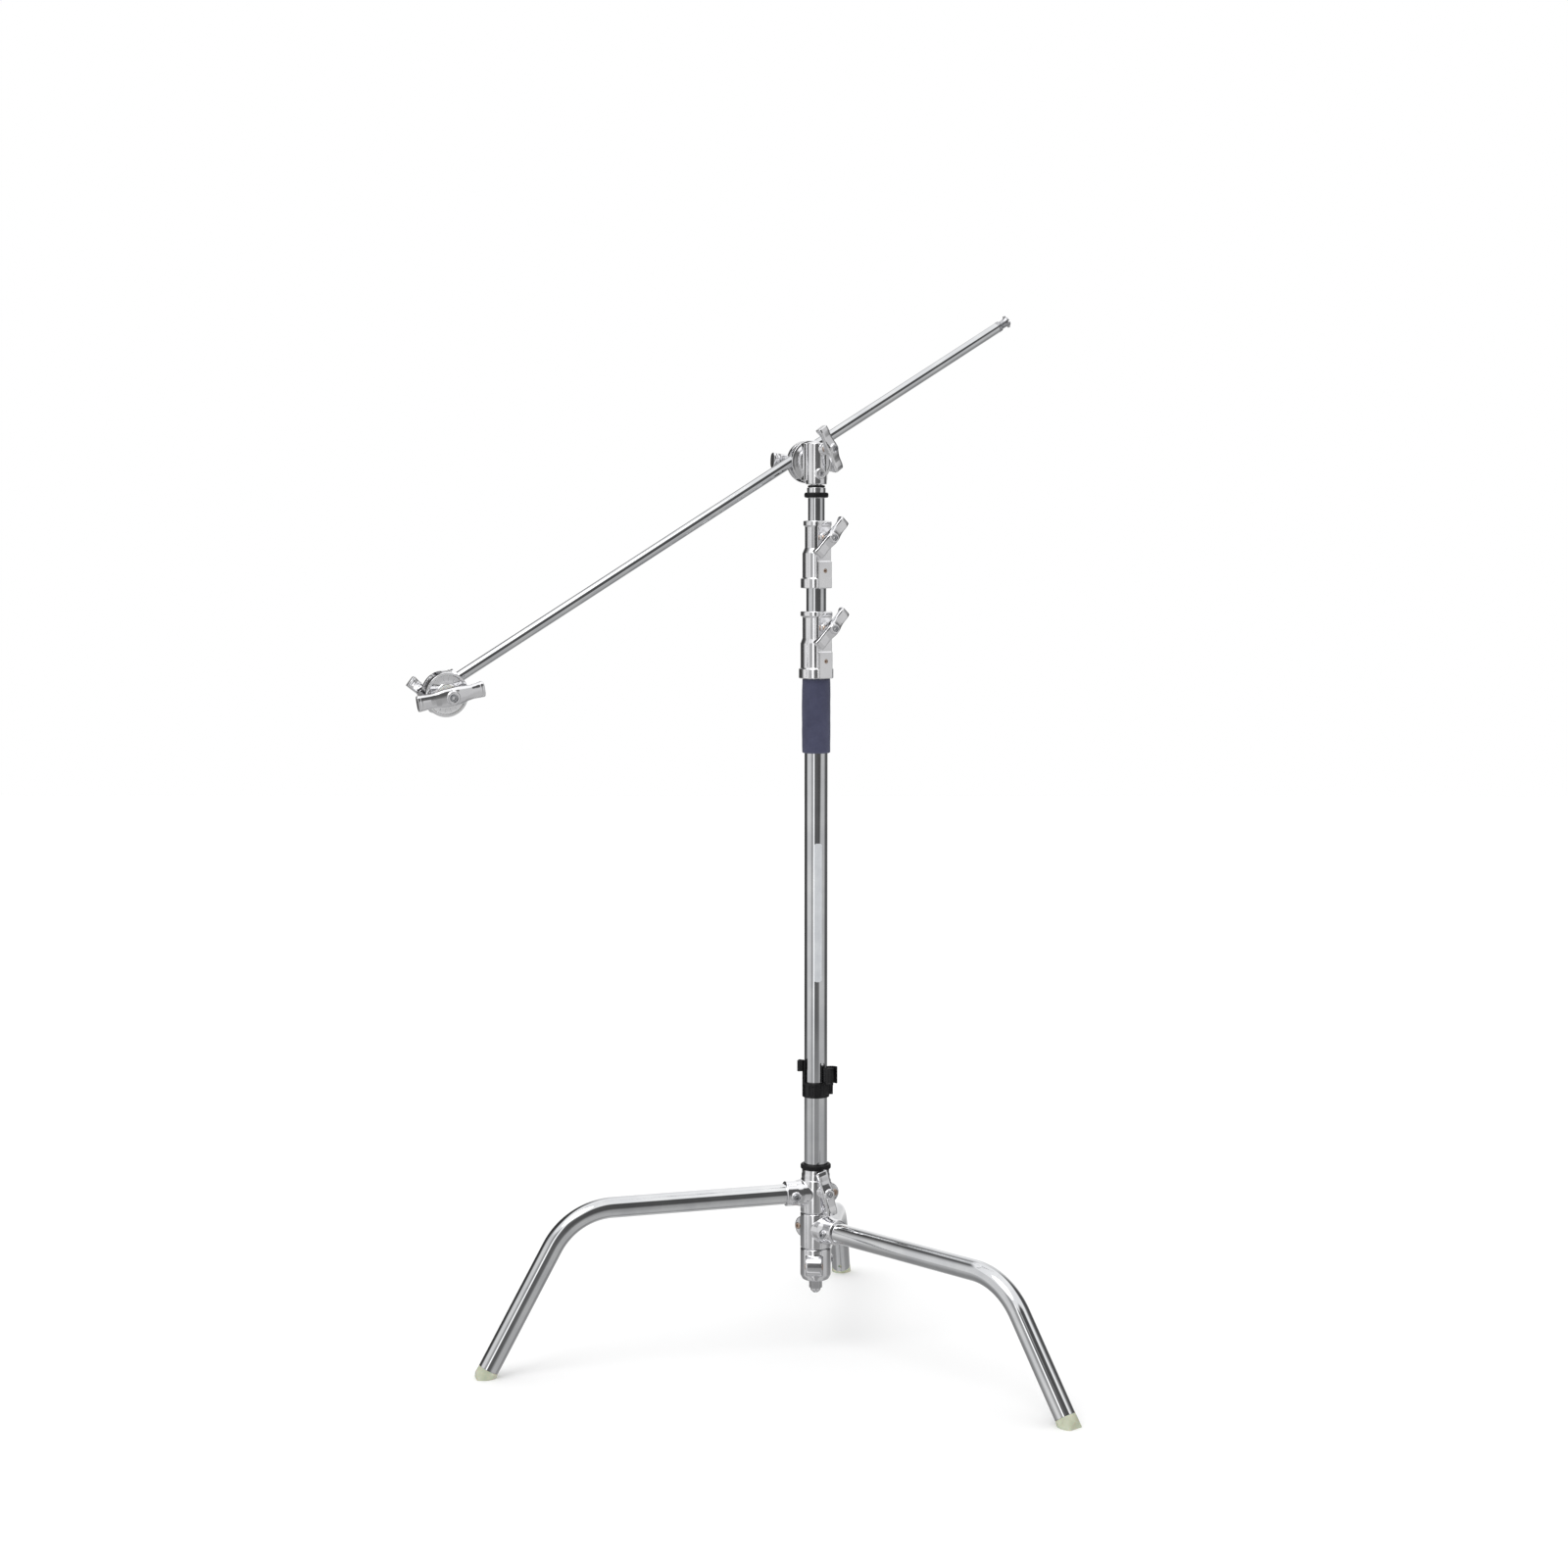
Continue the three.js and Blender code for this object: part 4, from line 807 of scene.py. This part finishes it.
def collar_mesh(c):
    foot, wide, slim, crown = c["foot"], c["lower"], c["upper"], c["crown"]
    face, top = c["face"], COLLAR_HEIGHT
    body = lathe([(0, 0), (foot, 0, 1), (foot, 14.5, 1), (wide, 15.4, 1), (wide, 52, 2),
                  (slim, 60, 4), (slim, 91.6, 1.6), (crown, 92.6, 0.8), (crown, top, 1.2),
                  (0, top)])
    turn = rot(Z, PAD_ANGLE)
    fronts = [
        slab((0, -12, 0.2), (face - 2, 12, top - 1), 0.8),
        slab((0, -12, 0.2), (face, 12, 40), 0.9),
        slab((0, -12, 92), (face - 0.6, 12, top - 1), 0.8),
        put(pin(8, 0, face + 1.2, 0.8), move(0, 0, BOLT_HEIGHT), lay(X)),
    ]
    cuts = [rod(c["holds"] + 0.15, -5, 53), rod(c["guides"] + 2.4, 52, 94),
            rod(c["guides"] + 0.4, -5, 105),
            put(pin(SCREW_HOLE, 0, 60), turn, move(0, 0, BOLT_HEIGHT), lay(X)),
            put(pin(3.3, 0, 60), turn, move(0, 0, SET_HEIGHT), lay(X))]
    return cast([body] + [put(m, turn) for m in fronts], cuts, 0.6, 4, 0.35)


def add_collar(name, c):
    where, turn, body = move(0, 0, c["bottom"]), rot(Z, PAD_ANGLE), c["body"]
    guides, face = c["guides"], c["face"]
    piece(name + "_casting", collar_mesh(c), where, body, "satin", (name + "_body",))
    shoe = pipe(guides + 2.2, guides + 0.35, 54, 93.5)
    hole = put(pin(SCREW_HOLE, 0, 60), turn, move(0, 0, BOLT_HEIGHT), lay(X))
    piece(name + "_nylon_liner", carve(shoe, [hole]), where, body, "nylon", (name + "_liner",))
    screw = carve(pin(3.1, c["holds"] + 0.4, face - 0.6, 0.3), [hexagon(1.7, face - 4, face + 1)])
    screw = put(screw, turn, move(0, 0, SET_HEIGHT), lay(X))
    piece(name + "_grub_screw", screw, where, body, "brass", (name + "_set_screw",), bevel=0.1)
    at = where @ move(0, 0, BOLT_HEIGHT) @ rot(Z, PAD_ANGLE - 90)
    lock_set(name + "_wing", at, face + 17, guides + 0.8, 47, name + "_lock", name + "_handle")


# ---- Clip on the riser ----

def open_ring(inner, outer, height, mouth, facing, soft=0.7, sides=64):
    """A ring with a mouth, mouth degrees wide: a rounded rectangular section swept round."""
    middle = (inner, height / 2)
    section = fillet([middle, (inner, 0, soft), (outer, 0, soft), (outer, height, soft),
                      (inner, height, soft), middle], 3)[:-1]
    first = math.radians(facing + mouth / 2)
    last = math.radians(facing - mouth / 2 + 360)
    verts, faces = [], []
    for k in range(sides + 1):
        a = first + (last - first) * k / sides
        for r, z in section:
            verts.append((r * math.cos(a), r * math.sin(a), z))
    n = len(section)
    for k in range(sides):
        for i in range(n):
            j = (i + 1) % n
            faces.append((k * n + i, k * n + j, (k + 1) * n + j, (k + 1) * n + i))
    faces.append(tuple(range(n)))
    faces.append(tuple(sides * n + i for i in range(n)))
    return mesh_from(verts, faces)


def at_polar(r, degrees, z):
    a = math.radians(degrees)
    return move(r * math.cos(a), r * math.sin(a), z)


def add_clip():
    """A band round the riser with a wide and a small open hook, a tab and grip slots."""
    ring = open_ring(17.9, 20.6, 23, 90, 70)
    wide = put(open_ring(8.3, 10.7, 26, 100, -22), at_polar(30.3, -40, 22.5))
    root = put(slab((18.6, -5, 6), (22.2, 5, 47), 0.8), rot(Z, -40))
    tab = put(slab((-3.8, -1.6, -14), (3.8, 1.6, 2), 0.7), at_polar(36.5, -53, 23))
    arm = put(slab((18.1, -4.5, 21), (20.6, 4.5, 57), 0.7), rot(Z, 202))
    small = put(open_ring(3.4, 5.4, 17, 100, 170, 0.5, 40), at_polar(25.2, 196, 40))
    slots = [put(slab((19.6, -1.6, 4), (24, 1.6, 19), 0.3), rot(Z, a))
             for a in (-100, -72, 215, 245)]
    forms = [ring, wide, root, tab, arm, small]
    mesh = cast(forms, [rod(17.85, -5, 70)] + slots, 0.45, 2, 0.5)
    piece("arm_clip_moulding", mesh, move(0, 0, 394), "clip", "plastic", ("arm_clip",))


# ---- Grip heads ----

HEADS = {
    "stand": dict(lock_angle=-68.5, lock_height=18.0, lock_slant=-60.0, main_slant=3.0,
                  jaw_turn=-31.1),
    "end": dict(lock_angle=-72.0, lock_height=9.0, lock_slant=-20.0, main_slant=70.0,
                jaw_turn=24.0),
}


def head_mesh(h):
    core = lathe([(0, -34), (15.6, -34, 1), (15.6, 27, 1.8), (0, 27)])
    flange = slab((-19, 2, -28), (19, 13.4, 27), 0.9)
    back = put(rod(24, 6, 13.4, 0.8), lay(Y))
    lock_at = move(0, 0, h["lock_height"]) @ rot(Z, h["lock_angle"])
    lock_boss = put(pin(8.4, 0, 20, 0.8), lock_at, lay(X))
    low_boss = put(pin(7.5, 0, 19.5, 0.8), move(0, 0, LOW_BOSS_Z), lay(-Y))
    cuts = [
        pin(8.15, -40, 20),
        put(pin(SCREW_HOLE, 0, 40), lock_at, lay(X)),
        put(pin(3.6, 0, 40), move(0, 0, LOW_BOSS_Z), lay(-Y)),
        slab((-40, 13.2, -60), (40, 60, 60)),
        put(pin(6.1, 9.6, 20), lay(Y)),
    ]
    return cast([core, flange, back, lock_boss, low_boss], cuts, 0.6, 4, 0.35)


def jaw_cuts():
    """Cutters for the jaws' two pairs of round notches and their bore."""
    tools = []
    for side in (-ROD_OFFSET, ROD_OFFSET):
        tools.append(put(rod(8.15, -40, 40), move(0, JAW_CENTRE, side), lay(X)))
        tools.append(put(pin(4.5, -40, 40), move(side, JAW_CENTRE, 0)))
    return tools + [put(pin(6.4, 5, 60), lay(Y))]


def inner_jaw():
    shape = lathe([(0, 13.7), (25, 13.7, 1), (29, 16.1, 2), (32, 17.1, 1), (32, 22.7, 0.8),
                   (0, 22.7)])
    return carve(put(shape, lay(Y)), jaw_cuts())


def outer_jaw():
    shape = lathe([(0, 29.7), (32, 29.7, 0.8), (32, 38.7, 1.2), (28.6, 38.7, 0.7),
                   (27.6, 37.3, 0.7), (17.4, 37.3, 0.7), (16.4, 38.7, 0.7), (0, 38.7)], 96)
    return carve(put(shape, lay(Y)), jaw_cuts())


def jaw_ribs():
    """The radial ribs in the outer jaw's ring."""
    return joined([put(slab((20, 36.6, -0.6), (25, 37.8, 0.6), 0.25), rot(Y, k * 20))
                   for k in range(18)])


def flat_ring(inner, outer, low, high, side):
    """A thin washer with its bore crisp and its rim softened."""
    return lathe([(inner, side), (inner, low, 0.2), (outer, low, 0.6), (outer, high, 0.6),
                  (inner, high, 0.2), (inner, side)])


JAWS = {"inner": inner_jaw(), "outer": outer_jaw(), "ribs": jaw_ribs()}


def add_head(key, where):
    """A grip head: casting and stud, jaws with their rings, T-handle and lock handle."""
    h = HEADS[key]
    body, clamp, jaws = key + "_head", key + "_clamp", key + "_jaws"
    prefix = key + "_head_"
    piece(prefix + "casting", head_mesh(h), where, body, "satin", (prefix + "body",))
    bolt = threaded(5.9, 9.8, 54.9, 1.5)
    piece(prefix + "stud", put(bolt, lay(Y)), where, body, "steel", (prefix + "bolt",))
    turned = where @ rot(Y, h["jaw_turn"])
    piece(prefix + "inner_plate", JAWS["inner"].copy(), turned, jaws, "satin",
          (prefix + "inner_jaw",), bevel=0.35)
    piece(prefix + "outer_plate", JAWS["outer"].copy(), turned, jaws, "turned",
          (prefix + "outer_jaw",), bevel=0.35)
    piece(prefix + "outer_ribs", JAWS["ribs"].copy(), turned, jaws, "cast")
    washer = put(flat_ring(6.4, 15, 39, 42.4, 40.5), lay(Y))
    piece(prefix + "nylon_washer", washer, where, jaws, "nylon", (prefix + "washer",))
    thrust = put(flat_ring(6.4, 10, 42.7, 46.2, 44), lay(Y))
    piece(prefix + "thrust_collar", thrust, where, jaws, "steel", (prefix + "thrust_ring",))
    grip = where @ rot(Y, h["main_slant"]) @ move(0, MAIN_AT, 0)
    piece(prefix + "t_handle", GRIPS["main"].copy(), grip, clamp, "polish", (prefix + "handle",))
    piece(prefix + "t_handle_screw", screw_end(MAIN, 4.4), grip, clamp, "steel", bevel=0.2)
    lock_at = where @ move(0, 0, h["lock_height"]) @ rot(Z, h["lock_angle"] - 90)
    lock_set(prefix + "wing", lock_at, 31, 8.45, h["lock_slant"], key + "_lock", prefix + "lock")


# ---- Arm ----

def arm_frame():
    turn = rot(Z, BOLT_ANGLE - 90)
    tilt = turn @ rot(Y, -ARM_RISE)
    offset = tilt @ Vector((0, JAW_CENTRE, ROD_OFFSET))
    return move(offset.x, offset.y, HEAD_Z + offset.z) @ tilt


def add_arm(where):
    """The arm's tube, and its turned tip with a slot and cross ears."""
    tube = put(pipe(ROD_R, 5.95, -695, 373.9, 0.3), lay(X))
    piece("arm_rod_chrome", tube, where, "arm", "rod", ("arm_rod",))
    tip = lathe([(0, 0), (ROD_R, 0), (ROD_R, 5, 0.5), (6.2, 7, 1), (6.2, 14, 1), (7.6, 18, 1),
                 (7.6, 21, 0.8), (0, 21)], SMALL)
    ears = slab((-9.4, -2, 17), (9.4, 2, 20.4), 0.6)
    parts = [carve(form, [slab((-1.2, -20, 18), (1.2, 20, 26))]) for form in (tip, ears)]
    hook = put(joined(parts), move(TIP_AT, 0, 0), lay(X))
    piece("arm_tip_hook", hook, where, "arm", "steel", ("arm_tip",), bevel=0.2)


# ---- Studio ----

def add_studio():
    floor = bpy.data.meshes.new("floor")
    floor.from_pydata([(-9, -9, 0), (9, -9, 0), (9, 9, 0), (-9, 9, 0)], [], [(0, 1, 2, 3)])
    ground = bpy.data.objects.new("floor", floor)
    bpy.context.scene.collection.objects.link(ground)
    n = Nodes("pale_floor")
    drift = n.span(n.noise(0.6, 3), 0.3, 0.7)
    tone = n.mix(drift, (0.93, 0.93, 0.93), (0.95, 0.95, 0.95))
    gloss = n.span(n.noise(40, 3), 0.3, 0.7, 0.85, 0.95)
    ground.data.materials.append(n.done(tone, gloss, Specular_IOR_Level=0.1))
    ground.visible_glossy = False
    add_world()
    add_key_light()


def add_key_light():
    """A broad, weak sun from the upper left front."""
    lamp = bpy.data.lights.new("soft_key", "SUN")
    lamp.energy, lamp.angle = 0.6, math.radians(35)
    key = bpy.data.objects.new("soft_key", lamp)
    key.location = (-1.5, -2.2, 4)
    key.rotation_euler = (-key.location).to_track_quat("-Z", "Y").to_euler()
    bpy.context.scene.collection.objects.link(key)


# Greys round the horizon, by share of a full turn from the camera's side, clockwise from above.
FLAGS = [
    (0.0, 0.12), (0.03, 0.13), (0.042, 0.42), (0.055, 1.5), (0.068, 1.4), (0.082, 0.38),
    (0.122, 0.4), (0.15, 0.74), (0.245, 0.78), (0.28, 0.2), (0.31, 0.05), (0.43, 0.06),
    (0.46, 0.6), (0.5, 1.0), (0.56, 0.75), (0.60, 0.2), (0.64, 0.08), (0.70, 0.1),
    (0.735, 0.24), (0.76, 0.56), (0.895, 0.6), (0.925, 0.16), (1.0, 0.12),
]
FLAG_TOP = 1.6
CEILING_GREY, CARD_GREY, FLOOR_GREY = 1.05, 0.09, 0.42
# Where the dark card hangs: before the object, a little to the right.
CARD_TOWARDS = (0.4636, -0.803, 0.3746)


def add_world():
    """A white studio. Metal reflects dark flags, a pale ceiling, a grey floor and a dark card."""
    world = bpy.data.worlds.new("studio")
    world.use_nodes = True
    bpy.context.scene.world = world
    tree = world.node_tree
    nodes, links = tree.nodes, tree.links

    def span(value, low, high):
        node = nodes.new("ShaderNodeMapRange")
        node.interpolation_type = "SMOOTHSTEP"
        node.inputs["From Min"].default_value = low
        node.inputs["From Max"].default_value = high
        links.new(value, node.inputs["Value"])
        return node.outputs["Result"]

    def grey_mix(factor, low, high):
        node = nodes.new("ShaderNodeMix")
        for index, value in ((0, factor), (2, low), (3, high)):
            if isinstance(value, float):
                node.inputs[index].default_value = value
            else:
                links.new(value, node.inputs[index])
        return node.outputs[0]

    split = nodes.new("ShaderNodeSeparateXYZ")
    links.new(nodes.new("ShaderNodeTexCoord").outputs["Generated"], split.inputs[0])
    angle = nodes.new("ShaderNodeMath")
    angle.operation = "ARCTAN2"
    links.new(split.outputs["X"], angle.inputs[0])
    links.new(split.outputs["Y"], angle.inputs[1])
    turn = nodes.new("ShaderNodeMapRange")
    turn.inputs["From Min"].default_value = -math.pi
    turn.inputs["From Max"].default_value = math.pi
    links.new(angle.outputs[0], turn.inputs["Value"])
    curve = nodes.new("ShaderNodeFloatCurve")
    links.new(turn.outputs["Result"], curve.inputs["Value"])
    points = curve.mapping.curves[0].points
    while len(points) < len(FLAGS):
        points.new(0.5, 0.5)
    for point, (spot, grey) in zip(points, FLAGS):
        point.location, point.handle_type = (spot, grey / FLAG_TOP), "VECTOR"
    curve.mapping.update()
    flags = nodes.new("ShaderNodeMath")
    flags.operation = "MULTIPLY"
    links.new(curve.outputs[0], flags.inputs[0])
    flags.inputs[1].default_value = FLAG_TOP
    height = split.outputs["Z"]
    below = grey_mix(0.35, FLOOR_GREY, flags.outputs[0])
    seen = grey_mix(span(height, -0.3, -0.18), below, flags.outputs[0])
    tall = nodes.new("ShaderNodeMath")
    tall.operation = "MULTIPLY_ADD"
    links.new(span(split.outputs["Y"], -0.2, 0.3), tall.inputs[0])
    tall.inputs[1].default_value = -0.2
    links.new(height, tall.inputs[2])
    seen = grey_mix(span(tall.outputs[0], 0.5, 0.62), seen, CEILING_GREY)
    card = nodes.new("ShaderNodeVectorMath")
    card.operation = "DOT_PRODUCT"
    links.new(nodes.new("ShaderNodeTexCoord").outputs["Generated"], card.inputs[0])
    card.inputs[1].default_value = CARD_TOWARDS
    seen = grey_mix(span(card.outputs["Value"], 0.86, 0.93), seen, CARD_GREY)
    reflected = nodes.new("ShaderNodeBackground")
    links.new(seen, reflected.inputs["Color"])
    white = nodes.new("ShaderNodeBackground")
    white.inputs["Color"].default_value = (1, 1, 1, 1)
    path = nodes.new("ShaderNodeLightPath")
    mix = nodes.new("ShaderNodeMixShader")
    links.new(path.outputs["Is Glossy Ray"], mix.inputs["Fac"])
    links.new(white.outputs[0], mix.inputs[1])
    links.new(reflected.outputs[0], mix.inputs[2])
    links.new(mix.outputs[0], nodes["World Output"].inputs["Surface"])


def add_camera():
    """The photograph's view: level with the column's upper part, tilted down 5.1 degrees."""
    data = bpy.data.cameras.new("camera")
    data.lens, data.sensor_width = 64.24, 36
    camera = bpy.data.objects.new("camera", data)
    camera.location = (0, -4.174, 1.242)
    camera.rotation_euler = (math.radians(84.88), 0, math.radians(0.66))
    bpy.context.scene.collection.objects.link(camera)
    bpy.context.scene.camera = camera
    bpy.context.scene.view_settings.view_transform = "Standard"


def main():
    add_hubs()
    add_legs()
    add_base_trim()
    add_column()
    for name, c in COLLARS.items():
        add_collar(name, c)
    add_clip()
    add_head("stand", move(0, 0, HEAD_Z) @ rot(Z, BOLT_ANGLE - 90))
    arm = arm_frame()
    add_arm(arm)
    # The end head's socket looks along the arm, and its jaws face the camera's side.
    end_turn = Matrix(((0, 0, -1, 0), (0, -1, 0, 0), (-1, 0, 0, 0), (0, 0, 0, 1)))
    add_head("end", arm @ move(END_AT, 0, 0) @ end_turn @ rot(Z, END_ROLL))
    for name in ("riser_end_plug", "second_guide", "third_guide"):
        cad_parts[name].data.materials[0] = LOOKS["nylon"]
    add_studio()
    add_camera()


main()
bpy.context.view_layer.update()
